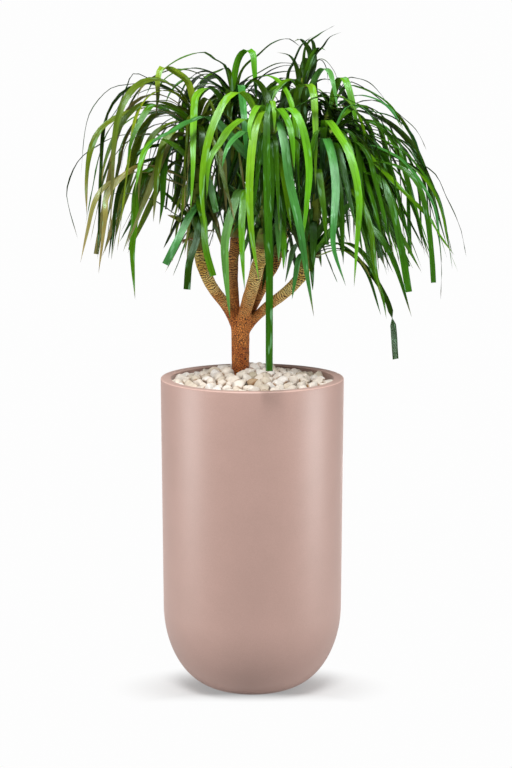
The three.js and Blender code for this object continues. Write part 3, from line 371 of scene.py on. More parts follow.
# Placed leaves that only the looks have: six in the tuft at the very top, then round the crown.
# Their points aren't worked out here either.
TUFT = [
    ("top", 0.97, 13, 60, 0, "dark", (124, 58, 1355), (125, 56, 1385), (116, 54, 1405),
     (103, 52, 1417), (90, 50, 1413)),
    ("top", 0.96, 12, 60, 0, "dark", (131, 52, 1355), (133, 50, 1388), (131, 47, 1408),
     (124, 42, 1417), (117, 38, 1408)),
    ("top", 0.8, 11, 40, 0, "dark", (76, 36, 1330), (90, 42, 1371), (104, 48, 1402),
     (121, 54, 1418), (133, 60, 1426)),
    ("top", 0.93, 9, 30, 0, "dark", (134, 66, 1366), (150, 70, 1374), (161, 74, 1355),
     (165, 76, 1322)),
    ("top", 0.9, 9, 30, 0, "olive", (138, 82, 1368), (158, 90, 1375), (178, 95, 1352),
     (188, 98, 1326)),
    ("top", 0.95, 12, 60, 0, "mid", (118, 40, 1352), (128, 28, 1382), (142, 18, 1398),
     (156, 8, 1392)),
    ("left", 0.97, 9, 20, 0, "olive", (-147, -10, 1270), (-177, 0, 1287), (-221, 10, 1285),
     (-257, 15, 1272), (-290, 20, 1249), (-315, 20, 1215)),
    ("left", 0.93, 9, 20, 0, "mid", (-147, -40, 1262), (-182, -55, 1270), (-225, -65, 1262),
     (-264, -70, 1241), (-291, -75, 1207), (-309, -75, 1164)),
    ("left", 0.9, 10, 30, 0, "olive", (-147, 10, 1249), (-188, 25, 1256), (-227, 35, 1243),
     (-257, 40, 1217), (-277, 45, 1181), (-285, 45, 1135)),
    ("left", 0.96, 9, 20, 0, "dark", (-143, 15, 1287), (-173, 40, 1308), (-210, 60, 1315),
     (-246, 70, 1304), (-281, 75, 1283), (-311, 75, 1249)),
    ("left", 0.98, 9, 30, 0, "olive", (-143, -30, 1296), (-173, -40, 1321), (-199, -45, 1328),
     (-221, -50, 1323), (-236, -55, 1304), (-244, -55, 1270)),
    ("left", 0.88, 12, 40, 0, "olive", (-143, -60, 1243), (-175, -85, 1238), (-205, -100, 1216),
     (-224, -110, 1178), (-233, -115, 1126), (-236, -115, 1073)),
    ("left", 0.85, 14, 50, 0, "olive", (-143, -70, 1236), (-164, -95, 1225), (-183, -110, 1200),
     (-194, -120, 1158), (-199, -125, 1105), (-205, -125, 1037)),
    ("left", 0.86, 14, 40, 0, "deep", (-143, 25, 1253), (-175, 50, 1250), (-202, 70, 1229),
     (-220, 80, 1190), (-229, 85, 1142)),
    ("left", 0.7, 16, 60, 0, "deep", (-155, -60, 1205), (-179, -80, 1178), (-185, -90, 1133),
     (-187, -95, 1080), (-194, -100, 1030)),
    ("back_left", 0.95, 12, 40, 0, "mid", (-53, 85, 1313), (-84, 75, 1345), (-120, 70, 1357),
     (-154, 65, 1353), (-186, 60, 1336), (-209, 60, 1306)),
    ("back_left", 0.9, 12, 40, 0, "deep", (-53, 80, 1302), (-89, 60, 1328), (-123, 45, 1336),
     (-153, 40, 1328), (-175, 35, 1306), (-188, 35, 1277)),
    ("back_left", 0.92, 14, 50, 0, "deep", (-5, 110, 1328), (35, 125, 1344), (73, 135, 1352),
     (111, 140, 1352), (140, 145, 1343)),
    ("back_left", 0.86, 10, 45, 0, "dark", (12, 140, 1332), (60, 160, 1363), (105, 170, 1364),
     (136, 175, 1354)),
    ("back_right", 0.9, 11, 30, 0, "dark", (258, 120, 1290), (309, 110, 1268), (340, 100, 1228),
     (362, 90, 1181), (388, 80, 1122), (409, 75, 1068), (427, 70, 1008), (441, 70, 951)),
    ("right", 0.85, 12, 30, 0, "deep", (240, -45, 1215), (312, -50, 1186), (345, -55, 1155),
     (379, -60, 1108), (402, -60, 1058), (415, -65, 994), (425, -65, 934)),
    ("right", 0.72, 14, 30, 0, "blue", (230, -60, 1195), (297, -70, 1175), (330, -75, 1148),
     (359, -80, 1109), (382, -85, 1067), (392, -85, 1017), (400, -85, 949)),
    ("back_right", 0.55, 12, 30, 0, "dark", (225, 80, 1165), (325, 55, 1157), (368, 50, 1132),
     (398, 45, 1094), (413, 45, 1062), (422, 45, 1025)),
    ("back_right", 0.95, 12, 30, 0, "deep", (206, 130, 1319), (236, 125, 1317), (268, 115, 1303),
     (296, 110, 1284), (317, 105, 1258), (332, 100, 1224)),
    ("back_right", 0.92, 13, 30, 0, "blue", (220, 100, 1298), (256, 90, 1296), (288, 85, 1281),
     (309, 80, 1259), (326, 80, 1228)),
    ("back_right", 0.97, 10, 20, 0, "dark", (208, 155, 1334), (232, 160, 1338), (260, 160, 1328),
     (284, 160, 1305), (302, 160, 1279)),
    ("right", 0.6, 16, 60, 0, "deep", (165, -110, 1165), (178, -140, 1113), (182, -155, 1062),
     (186, -160, 1010), (188, -165, 952)),
    ("right", 0.45, 15, 60, 0, "mid", (136, -100, 1147), (144, -130, 1096), (150, -145, 1044),
     (155, -150, 991)),
    ("right", 0.08, 12, 30, 0, "yellow", (148, -55, 965), (176, -65, 975), (207, -75, 970),
     (233, -80, 948), (254, -85, 911)),
    ("right", 0.14, 14, 40, 0, "mid", (165, -60, 984), (197, -75, 991), (229, -85, 974),
     (254, -90, 937), (275, -95, 879), (284, -95, 831)),
    ("right", 0.04, 15, 50, 0, "bright", (139, -45, 974), (161, -70, 1006), (182, -90, 1042),
     (199, -100, 1069), (222, -110, 1078), (250, -120, 1050)),
]

# Leaf colours as they look in plain light, as 8-bit sRGB, and the mix of them in each head.
# Leaves with a tint in `AGED` are dry from further down.
TINTS = {
    "lime": (116, 176, 34),
    "bright": (96, 164, 26),
    "blue": (76, 146, 70),
    "gloss": (100, 160, 72),
    "mid": (84, 134, 12),
    "deep": (62, 114, 16),
    "dark": (44, 72, 6),
    "olive": (98, 118, 28),
    "yellow": (142, 172, 40),
    "tan": (140, 136, 72),
    "dry": (168, 124, 78),
}
HEAD_TINTS = {
    "left": ("olive", "tan", "dark", "olive", "tan", "olive", "yellow", "deep"),
    "back_left": ("mid", "dark", "bright", "dark", "olive", "mid", "olive", "dark"),
    "front": ("mid", "deep", "dark", "bright", "mid", "dark", "deep", "mid"),
    "top": ("dark", "mid", "dark", "deep", "bright", "dark", "mid", "deep"),
    "right": ("deep", "mid", "deep", "blue", "dark", "mid", "deep", "bright"),
    "back_right": ("dark", "deep", "mid", "dark", "deep", "mid", "dark", "deep"),
}
AGED = ("yellow", "tan", "olive")
SHORT_TINTS = ("bright", "mid", "olive")
ROOT_TINT, ROOT_TINT_PART, ROOT_TINT_CURVE, ROOT_TINT_SHARE = (188, 196, 58), 0.11, 1.5, 0.75
TIP_TINT, TIP_END = (164, 144, 96), 1.02
STEM_GREEN, STEM_BROWN, STEM_BROWN_PART = (122, 140, 38), (132, 104, 48), 0.12

# Each leaf's own tone, its red and blue against its green, and where its dry tip begins.
TONES, REDS, BLUES = (0.82, 1.2), (0.9, 1.12), (0.85, 1.2)
DRY_FROM, DRY_FROM_AGED = (0.9, 1.0), (0.6, 0.9)

# What a tint is multiplied by: painted light near the root, painted shade further down, over this
# part of the blade.
# Inside the crown, painted shade takes up to this share of each colour, and less at the root.
ROOT_PAINTED_LIGHT, LOWER_PAINTED_SHADE, DOWN_PART = (1.2, 1.12, 1, 1), (0.82, 0.88, 0.85, 1), (0.15, 0.75)
CROWN_SHADE, ROOT_UNSHADED = (0.74, 0.66, 0.85, 0), 0.6

# Leaves that only the looks have: more of the same by the rule, from the index given on, and
# short broad leaves that fan out from the foot of each leafy stem, with a dried end.
EXTRA_FROM = 100
EXTRA_LEAVES = {"left": 80, "back_left": 70, "front": 24, "top": 60, "right": 110,
                "back_right": 85}
EXTRA_LEANS = {"left": 0.1, "back_left": 0.3, "front": 0.6, "top": 0.3, "right": 0.7,
               "back_right": 0.5}
EXTRA_CLEARANCE, EXTRA_TRIES, EXTRA_TWIST = 2.5, 10, 240
EXTRA_ROOTS, EXTRA_LENGTH = (0.35, 0.97), 240
EXTRA_REACH, EXTRA_REACH_CURVE = (0.2, 1.15), 1.4
EXTRA_DROP = (0, 0, 4)
EXTRA_FOOT = ((-400, 985), (-345, 945), (-260, 930), (-235, 1060), (-205, 1065), (-190, 1030),
              (-100, 1055), (90, 1060), (175, 1040), (215, 975), (260, 905), (370, 905),
              (460, 960))
FANNED, DRIED = 12, 1
SHORT_ANGLE, SHORT_ROOTS, SHORT_BEND, SHORT_FALL = 31, (0.01, 0.1), 0.95, (12, 48)
SHORT_WIDTH, SHORT_TWIST = (13, 19), 200
FANNED_RISE, FANNED_LENGTH = (58, 80), (90, 190)
DRIED_RISE, DRIED_LENGTH = (10, 40), (22, 45)

# A blade's section, from edge to edge over the channel and back beneath; it is flatter where
# the blade is narrow. One placed leaf hangs by a torn place, and is wider past it.
SECTION = (-1, -0.5, 0, 0.5, 1, 0.5, 0, -0.5)
FIRST_BENEATH = 5
KEEL, KEEL_CURVE, KEEL_FULL_AT = 0.8, 1.4, 6
THICKNESS, THICK_FULL_AT = 0.8, 4
PLACED_WIDTH_SHARE = 0.9
SHEATH_START, SHEATH_PART, SHEATH_WIDTH = 1.1, 0.2, 0.8
RIPPLE_DEPTHS, RIPPLE_LENGTHS = (0.2, 0.9), (60, 110)
GRAIN_SHIFT = 9000
TORN_LEAF, TORN_AT, TORN_WIDENED, TORN_NARROWED = 55, 0.76, 1.2, 0.85

# Sharp edges join points with the same number here, all along both edges and round a cut end.
EDGE_MARKS, CUT_END_MARK = (1, 0, 0, 0, 2, 0, 0, 0), 3


# ---- Small helpers ----


def mix(low, high, share):
    return low + (high - low) * share


def draw(*labels):
    """A number from 0 to 1 that depends only on the whole numbers given."""
    value = 2166136261
    for label in labels:
        value = ((value ^ label) * 16777619) & 0xFFFFFFFF
        value = ((value ^ (value >> 15)) * 2246822519) & 0xFFFFFFFF
        value ^= value >> 13
    return value / 4294967296


def linear(colour):
    """8-bit sRGB as linear RGBA."""
    parts = [c / 255 for c in colour]
    return (*[c / 12.92 if c <= 0.04045 else ((c + 0.055) / 1.055) ** 2.4 for c in parts], 1)


def unit(vectors):
    return vectors / np.linalg.norm(vectors, axis=-1, keepdims=True)


def sized(vectors):
    return np.linalg.norm(vectors, axis=-1)


def run_length(line):
    """The length along a line of points from its start to each of them."""
    return np.concatenate([[0], np.cumsum(sized(np.diff(line, axis=0)))])


def circle(sides):
    """Points on a flat circle of radius 1."""
    angles = np.linspace(0, 2 * math.pi, sides, endpoint=False)
    return np.stack([np.cos(angles), np.sin(angles), np.zeros(sides)], axis=1)


def curve_points(points, places):
    """A smooth curve through the points, at places counted in points from the first, 0."""
    points = np.array(points, float)
    first, last = 2 * points[0] - points[1], 2 * points[-1] - points[-2]
    padded = np.vstack([first, points, last])
    places = np.clip(np.atleast_1d(places), 0, len(points) - 1)
    start = np.minimum(places.astype(int), len(points) - 2)
    t = (places - start)[:, None]
    before, here, there, after = (padded[start + k] for k in range(4))
    leave, arrive = (there - before) / 2, (after - here) / 2
    square, cube = t**2, t**3
    return (here + t * leave + square * (3 * (there - here) - 2 * leave - arrive)
            + cube * (2 * (here - there) + leave + arrive))


def even_points(points, steps):
    """Points at even distances along the smooth curve through the points given."""
    places = np.linspace(0, len(points) - 1, 4 * LINE_STEPS + 1)
    lengths = run_length(curve_points(points, places))
    wanted = np.interp(np.linspace(0, lengths[-1], steps + 1), lengths, places)
    return curve_points(points, wanted)


def on_limb(limb, place):
    """A point and a direction along a limb, counted in its own points from the first, 0."""
    nudge = 1e-4 * (len(limb["line"]) - 1)
    before, point, after = curve_points(limb["line"], [place - nudge, place, place + nudge])
    return point, unit(after - before)


def on_stem(limb, share):
    """A point and a direction on the leafy stem, from 0 at its seat to 1 at its tip."""
    seat = limb["bare"] - 1
    return on_limb(limb, seat + share * (len(limb["line"]) - 1 - seat))


def stem_radius(limb, share):
    return mix(limb["end"], STEM_TIP_RADIUS, share**2)


def branch_radius(limb, place):
    return mix(limb["base"], limb["end"], place / (limb["bare"] - 1))


def ring_around(centre, along, radius, sides):
    """A ring of points round `centre`, square to `along`, which runs mostly upwards."""
    across = unit(np.cross([0, 1, 0], along))
    back = unit(np.cross(along, across))
    angles = np.linspace(0, 2 * math.pi, sides, endpoint=False)[:, None]
    return centre + radius * (np.cos(angles) * across + np.sin(angles) * back)


def bed_height(places):
    """The height of the pebble bed at places seen from above, with a heap behind the trunk."""
    share = sized(places) / (POT_TOP_RADIUS - POT_WALL)
    off = sized(places - np.array(BED_HEAP)) / BED_HEAP_REACH
    dome = mix(BED_MIDDLE_TOP, BED_EDGE_TOP, np.minimum(share, 1) ** BED_CURVE)
    return dome + BED_HEAP_RISE * np.exp(-(off**2))


def lofted(rings, root=None, tip=None):
    """Points and faces of a closed body through rings of the same number of points.

    It ends in a point where a root or a tip is given, and is capped flat otherwise.
    """
    count, sides = len(rings), len(rings[0])
    ends = [rings[0].mean(axis=0) if root is None else root,
            rings[-1].mean(axis=0) if tip is None else tip]
    points = np.vstack([*rings, *ends])
    faces = []
    for ring in range(count - 1):
        for k in range(sides):
            a, b = ring * sides + k, ring * sides + (k + 1) % sides
            faces.append((a, b, b + sides, a + sides))
    low, high = count * sides, count * sides + 1
    top = (count - 1) * sides
    for k in range(sides):
        after = (k + 1) % sides
        faces.append((low, after, k))
        faces.append((high, top + k, top + after))
    return points, faces


class Shape:
    """Collects closed bodies with values at their points, and makes one mesh object."""

    def __init__(self):
        self.points, self.faces, self.values, self.count = [], [], {}, 0

    def add(self, points, faces, **values):
        self.points.append(points)
        self.faces += [tuple(index + self.count for index in face) for face in faces]
        self.count += len(points)
        for name, value in values.items():
            self.values.setdefault(name, []).append(value)

    def make(self, name, material):
        mesh = bpy.data.meshes.new(name)
        mesh.from_pydata(np.vstack(self.points) * MM, [], self.faces)
        for key, parts in self.values.items():
            value = np.concatenate(parts)
            kind = "FLOAT_COLOR" if value.ndim == 2 else "FLOAT"
            field = "color" if value.ndim == 2 else "value"
            layer = mesh.attributes.new(key, kind, "POINT")
            layer.data.foreach_set(field, value.astype(np.float32).ravel())
        return shown(mesh, material)


def shown(mesh, material):
    """An object in the scene for the mesh, smoothly shaded, with one material."""
    mesh.materials.append(material)
    mesh.polygons.foreach_set("use_smooth", [True] * len(mesh.polygons))
    mesh.update()
    made = bpy.data.objects.new(mesh.name, mesh)
    bpy.context.scene.collection.objects.link(made)
    return made


def edge_ends(mesh):
    """The numbers of the two points of each edge of a mesh."""
    ends = np.zeros(len(mesh.edges) * 2, int)
    mesh.edges.foreach_get("vertices", ends)
    return ends.reshape(-1, 2)


def mark_sharp(mesh, flags):
    """Makes edges sharp that join two points with the same flag above 0."""
    ends = edge_ends(mesh)
    sharp = (flags[ends[:, 0]] > 0) & (flags[ends[:, 0]] == flags[ends[:, 1]])
    layer = mesh.attributes.new("sharp_edge", "BOOLEAN", "EDGE")
    layer.data.foreach_set("value", sharp)


# ---- Material helpers ----


def wire(tree, socket, value):
    if isinstance(value, bpy.types.NodeSocket):
        tree.links.new(value, socket)
    else:
        socket.default_value = value


def add(tree, kind, *places, setup=None, **named):
    """A shader node with values or sockets for its inputs, by order or by name."""
    made = tree.nodes.new("ShaderNode" + kind)
    for key, value in (setup or {}).items():
        setattr(made, key, value)
    for index, value in enumerate(places):
        wire(tree, made.inputs[index], value)
    for key, value in named.items():
        wire(tree, made.inputs[key.replace("_", " ")], value)
    return made


def sums(tree, operation, *values):
    return add(tree, "Math", *values, setup={"operation": operation}).outputs[0]


def plus(tree, *values):
    return sums(tree, "ADD", *values)


def times(tree, *values):
    return sums(tree, "MULTIPLY", *values)


def scaled(tree, value, low, high, to_low=0.0, to_high=1.0):
    """The value taken from one range to another, smoothly, and held inside it."""
    setup = {"interpolation_type": "SMOOTHSTEP", "clamp": True}
    return add(tree, "MapRange", value, low, high, to_low, to_high, setup=setup).outputs[0]


def blend(tree, factor, first, second, kind="MIX"):
    made = tree.nodes.new("ShaderNodeMix")
    made.data_type = "RGBA"
    made.blend_type = kind
    for index, value in ((0, factor), (6, first), (7, second)):
        wire(tree, made.inputs[index], value)
    return made.outputs[2]


def grey(tree, value):
    return add(tree, "CombineColor", value, value, value).outputs[0]


def value_of(tree, name):
    """What the mesh says about a point under a name."""
    return add(tree, "Attribute", setup={"attribute_name": name}).outputs["Fac"]


def own_tint(tree):
    return add(tree, "Attribute", setup={"attribute_name": "tint"}).outputs["Color"]


def place_in_object(tree):
    return add(tree, "TexCoord").outputs["Object"]


def noise_at(tree, place, scale, detail=3.0, roughness=0.55):
    return add(tree, "TexNoise", Vector=place, Scale=scale, Detail=detail,
               Roughness=roughness).outputs["Fac"]


def clouded(tree, value, low, high, tints):
    """A colour that goes from the first tint to the second as the value goes up."""
    return blend(tree, scaled(tree, value, low, high), *[linear(tint) for tint in tints])


def painted(tree, colour, factor, tint):
    return blend(tree, factor, colour, linear(tint))


def toned(tree, colour, tone):
    return blend(tree, 1.0, colour, grey(tree, tone), "MULTIPLY")


def bumped(tree, height, depth, strength=1.0):
    return add(tree, "Bump", Strength=strength, Distance=depth, Height=height).outputs[0]


def new_material(name):
    made = bpy.data.materials.new(name)
    made.use_nodes = True
    tree = made.node_tree
    tree.nodes.clear()
    return made, tree


def finished(made, tree, shader):
    tree.links.new(shader.outputs[0], add(tree, "OutputMaterial").inputs[0])
    return made


# ---- Materials: noise scales count waves in a metre, and bumps are in metres ----


def clay_material():
    """Matte dusty pink with a fine sanded grain, faint clouds of tone, painted light on the rim's
    flat and painted shade on the inner wall.
    """
    made, tree = new_material("clay")
    place = place_in_object(tree)
    grain, specks = noise_at(tree, place, 420, 3, 0.7), noise_at(tree, place, 1500, 2)
    colour = clouded(tree, noise_at(tree, place, 9, 4), 0.3, 0.7, CLAY_TINTS)
    # Painted light on the rim's flat.
    colour = painted(tree, colour, value_of(tree, "rim"), CLAY_RIM_PAINTED_LIGHT)
    colour = toned(tree, colour, scaled(tree, grain, 0.25, 0.75, 0.95, 1.04))
    # Painted shade on the inner wall.
    colour = painted(tree, colour, value_of(tree, "inside"), CLAY_INSIDE_PAINTED_SHADE)
    height = plus(tree, times(tree, grain, 0.7), times(tree, specks, 0.3))
    return finished(made, tree, add(
        tree, "BsdfPrincipled", Base_Color=colour,
        Roughness=scaled(tree, grain, 0.2, 0.8, 0.38, 0.48),
        Sheen_Weight=0.3, Sheen_Roughness=0.35, Sheen_Tint=(1, 0.8, 0.74, 1),
        Normal=bumped(tree, height, 0.0002, 0.35)))


def soil_material():
    made, tree = new_material("soil")
    lumps = noise_at(tree, place_in_object(tree), 90, 6, 0.7)
    return finished(made, tree, add(
        tree, "BsdfPrincipled", Base_Color=clouded(tree, lumps, 0.3, 0.7, SOIL_TINTS),
        Roughness=0.95, Normal=bumped(tree, lumps, 0.004, 0.8)))


def stone_material():
    """Warm white stone with pores, small brown stains, and painted shade close to other pebbles.
    """
    made, tree = new_material("stone")
    place = place_in_object(tree)
    clouds = noise_at(tree, place, 70, 4, 0.6)
    pores = noise_at(tree, place, 600, 3, 0.7)
    stains = scaled(tree, noise_at(tree, place, 150, 5, 0.75), 0.6, 0.72)
    colour = toned(tree, own_tint(tree), scaled(tree, clouds, 0.25, 0.75, 0.92, 1.05))
    # Painted shade where pebbles come close together.
    colour = painted(tree, colour, value_of(tree, "between"), STONE_PAINTED_SHADE)
    colour = painted(tree, colour, times(tree, stains, 0.5), STONE_STAIN)
    colour = painted(tree, colour, scaled(tree, pores, 0.66, 0.8, 0, 0.4), STONE_PORE)
    height = plus(tree, clouds, times(tree, pores, 0.5))
    return finished(made, tree, add(
        tree, "BsdfPrincipled", Base_Color=colour,
        Roughness=scaled(tree, pores, 0.2, 0.8, 0.5, 0.75),
        Normal=bumped(tree, height, 0.0012, 0.6)))


def bark_material():
    """Corky orange-brown trunk that turns into tan branches with fine dark ring wrinkles."""
    made, tree = new_material("bark")
    place = place_in_object(tree)
    fine = noise_at(tree, place, 380, 4, 0.7)
    gaps = noise_at(tree, place, 130, 2)
    patches = noise_at(tree, place, 28, 4, 0.6)
    turns = times(tree, value_of(tree, "rings"), math.pi)
    wave = sums(tree, "ABSOLUTE", sums(tree, "SINE", turns))
    ring = plus(tree, wave, scaled(tree, gaps, 0.52, 0.8, 0, 0.35))
    ring = scaled(tree, plus(tree, ring, times(tree, fine, 0.3)), 0.4, 1.0)
    cells = add(tree, "TexVoronoi", Vector=place, Scale=240.0,
                setup={"feature": "DISTANCE_TO_EDGE"}).outputs[0]
    cracks = scaled(tree, plus(tree, cells, times(tree, fine, 0.16)), 0.08, 0.24)
    cork = clouded(tree, patches, 0.35, 0.65, CORK_TINTS)
    cork = blend(tree, cracks, linear(CORK_CRACK), cork)
    skin = clouded(tree, patches, 0.35, 0.65, SKIN_TINTS)
    young = scaled(tree, value_of(tree, "share"), 0.45, 1.0, 0, 0.6)
    skin = painted(tree, skin, young, YOUNG_SKIN)
    skin = painted(tree, skin, value_of(tree, "warm"), WARM_SKIN)
    skin = blend(tree, ring, linear(SKIN_RING), skin)
    up = value_of(tree, "up")
    colour = toned(tree, blend(tree, up, cork, skin), scaled(tree, fine, 0.2, 0.8, 0.78, 1.15))
    height = plus(tree, blend(tree, up, grey(tree, cracks), grey(tree, ring)),
                  times(tree, fine, 0.5))
    return finished(made, tree, add(
        tree, "BsdfPrincipled", Base_Color=colour, Roughness=0.8,
        Normal=bumped(tree, height, 0.0011, 1.0)))


def leaf_material():
    """Glossy strap leaf: fine lengthwise veins and pale patches of painted sheen over the leaf's
    own tint, with light through.

    `across` runs from -1 to 1 over the blade, and `along` counts millimetres down it.
    """
    made, tree = new_material("leaf")
    across, along = value_of(tree, "across"), value_of(tree, "along")

    def on_blade(wide, long, scale, detail):
        place = add(tree, "CombineXYZ", times(tree, across, wide), times(tree, along, long), 0.0)
        return noise_at(tree, place.outputs[0], scale, detail)

    clouds, sheen_patches = on_blade(0.5, 0.012, 1.0, 3), on_blade(0.5, 0.012, 1.7, 2)
    streaks = on_blade(4.0, 0.01, 1.0, 2)
    veins = sums(tree, "SINE", times(tree, across, 30.0))
    rib = scaled(tree, sums(tree, "ABSOLUTE", across), 0.0, 0.22)
    tone = plus(tree, scaled(tree, clouds, 0.25, 0.75, 0.74, 1.22), times(tree, veins, 0.04))
    tone = times(tree, tone, scaled(tree, streaks, 0.25, 0.75, 0.86, 1.14))
    tone = times(tree, tone, scaled(tree, rib, 0, 1, 0.86, 1.0))
    colour = toned(tree, own_tint(tree), tone)
    # Pale patches of painted sheen.
    colour = painted(tree, colour, scaled(tree, sheen_patches, 0.57, 0.7, 0, 0.36), LEAF_PAINTED_SHEEN)
    height = plus(tree, times(tree, veins, 0.5), streaks)
    rough = scaled(tree, sheen_patches, 0.3, 0.7, 0.32, 0.2)
    dull = scaled(tree, value_of(tree, "deep"), 0.2, 0.9, 0, 0.65)
    gloss = add(tree, "BsdfPrincipled", Base_Color=colour,
                Roughness=sums(tree, "MAXIMUM", rough, dull), Specular_IOR_Level=0.4,
                Specular_Tint=(0.7, 1.0, 0.8, 1), Normal=bumped(tree, height, 0.0003, 0.5))
    glow = blend(tree, 1.0, colour, linear(LEAF_GLOW), "MULTIPLY")
    through = add(tree, "BsdfTranslucent", Color=glow)
    return finished(made, tree, add(tree, "MixShader", 0.18, gloss.outputs[0],
                                    through.outputs[0]))


# ---- Planter ----


def arc(centre, radii, start, stop, steps):
    """Points on an ellipse in the planter's profile; angles in degrees from +radius to +Z."""
    angles = np.radians(np.linspace(start, stop, steps + 1))
    return [(centre[0] + radii[0] * math.cos(a), centre[1] + radii[1] * math.sin(a))
            for a in angles]


def inner_wall(height):
    rise = (height - POT_SHOULDER_HEIGHT) / (POT_HEIGHT - POT_SHOULDER_HEIGHT)
    return mix(POT_SHOULDER_RADIUS, POT_TOP_RADIUS, rise) - POT_WALL


def make_pot(material):
    """The planter turned from its profile, with an evenly thick wall and a softened rim.

    Its values say how far each point belongs to the rim's flat, which gets painted light, and to
    the inner wall, which gets painted shade.
    """
    inner_foot = POT_FOOT_RADIUS - POT_WALL / 2
    inner_shoulder = POT_SHOULDER_RADIUS - POT_WALL
    edge, soft = POT_HEIGHT - POT_EDGE, (POT_EDGE, POT_EDGE)
    foot = [(POT_FOOT_RADIUS * share, 0) for share in (0.25, 0.5, 0.75)]
    rises = [k / POT_SIDE_STEPS for k in range(1, POT_SIDE_STEPS)]
    outside = [
        *foot,
        *arc((POT_FOOT_RADIUS, POT_SHOULDER_HEIGHT),
             (POT_SHOULDER_RADIUS - POT_FOOT_RADIUS, POT_SHOULDER_HEIGHT), -90, 0, POT_BOWL_STEPS),
        *[(mix(POT_SHOULDER_RADIUS, POT_TOP_RADIUS, rise), mix(POT_SHOULDER_HEIGHT, edge, rise))
          for rise in rises],
        *arc((POT_TOP_RADIUS - POT_EDGE, edge), soft, 0, 90, POT_EDGE_STEPS),
    ]
    heights = range(POT_INSIDE_TOP, POT_SHOULDER_HEIGHT, -POT_INSIDE_STEP)
    inside = [
        *arc((inner_wall(edge) + POT_EDGE, edge), soft, 90, 180, POT_EDGE_STEPS),
        *[(inner_wall(height), height) for height in heights],
        *arc((inner_foot, POT_SHOULDER_HEIGHT),
             (inner_shoulder - inner_foot, POT_SHOULDER_HEIGHT - POT_WALL), 0, -90,
             POT_INSIDE_BOWL_STEPS),
    ]
    rings = [radius * circle(POT_SIDES) + [0, 0, height] for radius, height in outside + inside]
    points, faces = lofted(rings, np.zeros(3), np.array([0, 0, POT_WALL]))
    number = np.arange(len(rings))
    # Where the inner wall gets painted shade.
    inner_wall_painted_shade = (number > len(outside) + POT_EDGE_STEPS).astype(float)
    # Where the rim's flat gets painted light.
    rim_painted_light = ((number >= len(outside) - POT_RIM_RINGS)
              & (number < len(outside) + POT_RIM_RINGS)).astype(float)
    shape = Shape()
    shape.add(points, faces, inside=[*np.repeat(inner_wall_painted_shade, POT_SIDES), 0, 1],
              rim=[*np.repeat(rim_painted_light, POT_SIDES), 0, 0])
    return shape.make("planter", material)


# ---- Pebbles ----


def settle_pebbles(rng):
    """Centres and radii of pebbles dropped on the bed and pushed apart until they rest."""
    wall = POT_TOP_RADIUS - POT_WALL
    radii = rng.uniform(*PEBBLE_RADII, PEBBLE_COUNT)
    angle = rng.uniform(0, 2 * math.pi, PEBBLE_COUNT)
    out = (wall - DROP_MARGIN) * np.sqrt(rng.uniform(0, 1, PEBBLE_COUNT))
    spot = out[:, None] * np.stack([np.cos(angle), np.sin(angle)], axis=1)
    height = bed_height(spot) + rng.uniform(0, DROP_HEIGHT, PEBBLE_COUNT)
    place = np.column_stack([spot, height])
    reach = (radii[:, None] + radii[None, :]) * TOUCH
    itself = np.eye(PEBBLE_COUNT) * 1e6
    for _ in range(SETTLE_STEPS):
        place[:, 2] -= SETTLE_FALL
        apart = place[:, None] - place[None]
        distance = sized(apart) + itself
        push = np.maximum(0, reach - distance) / distance
        place += SETTLE_PUSH * (apart * push[:, :, None]).sum(axis=1)
        limit = wall - WALL_TOUCH * radii
        place[:, :2] *= np.minimum(1, limit / sized(place[:, :2]))[:, None]
        away = place[:, :2] - (TRUNK["x"], TRUNK["y"])
        gap = sized(away)
        need = TRUNK["radius"] + TRUNK_TOUCH * radii
        place[:, :2] += away / gap[:, None] * np.maximum(0, need - gap)[:, None]
        floor = bed_height(place[:, :2]) - BED_SINK + BED_TOUCH * radii
        place[:, 2] = np.clip(place[:, 2], floor, floor + BED_LIFT)
    return place, radii


def ball(subdivisions):
    """Points and faces of a round ball of radius 1."""
    mesh = bmesh.new()
    bmesh.ops.create_icosphere(mesh, subdivisions=subdivisions, radius=1)
    points = np.array([vertex.co for vertex in mesh.verts])
    faces = [tuple(vertex.index for vertex in face.verts) for face in mesh.faces]
    mesh.free()
    return points, faces


def tumbled(points, rng):
    """A ball worn into a pebble: flats all round it with soft edges between them."""
    flats = unit(rng.normal(size=(FLATS, 3)))
    depth = rng.uniform(*FLAT_DEPTHS, FLATS)
    facing = np.maximum(0, points @ flats.T) / depth
    radius = (facing**FLAT_CRISPNESS).sum(axis=1) ** (-1 / FLAT_CRISPNESS)
    radius = np.minimum(radius, CORNER)
    return points * radius[:, None] * [1, rng.uniform(*PEBBLE_DEPTHS),
                                       rng.uniform(*PEBBLE_HEIGHTS)]


def random_turn(rng):
    w, x, y, z = unit(rng.normal(size=4))
    return np.array([
        [1 - 2 * (y * y + z * z), 2 * (x * y - z * w), 2 * (x * z + y * w)],
        [2 * (x * y + z * w), 1 - 2 * (x * x + z * z), 2 * (y * z - x * w)],
        [2 * (x * z - y * w), 2 * (y * z + x * w), 1 - 2 * (x * x + y * y)],
    ])


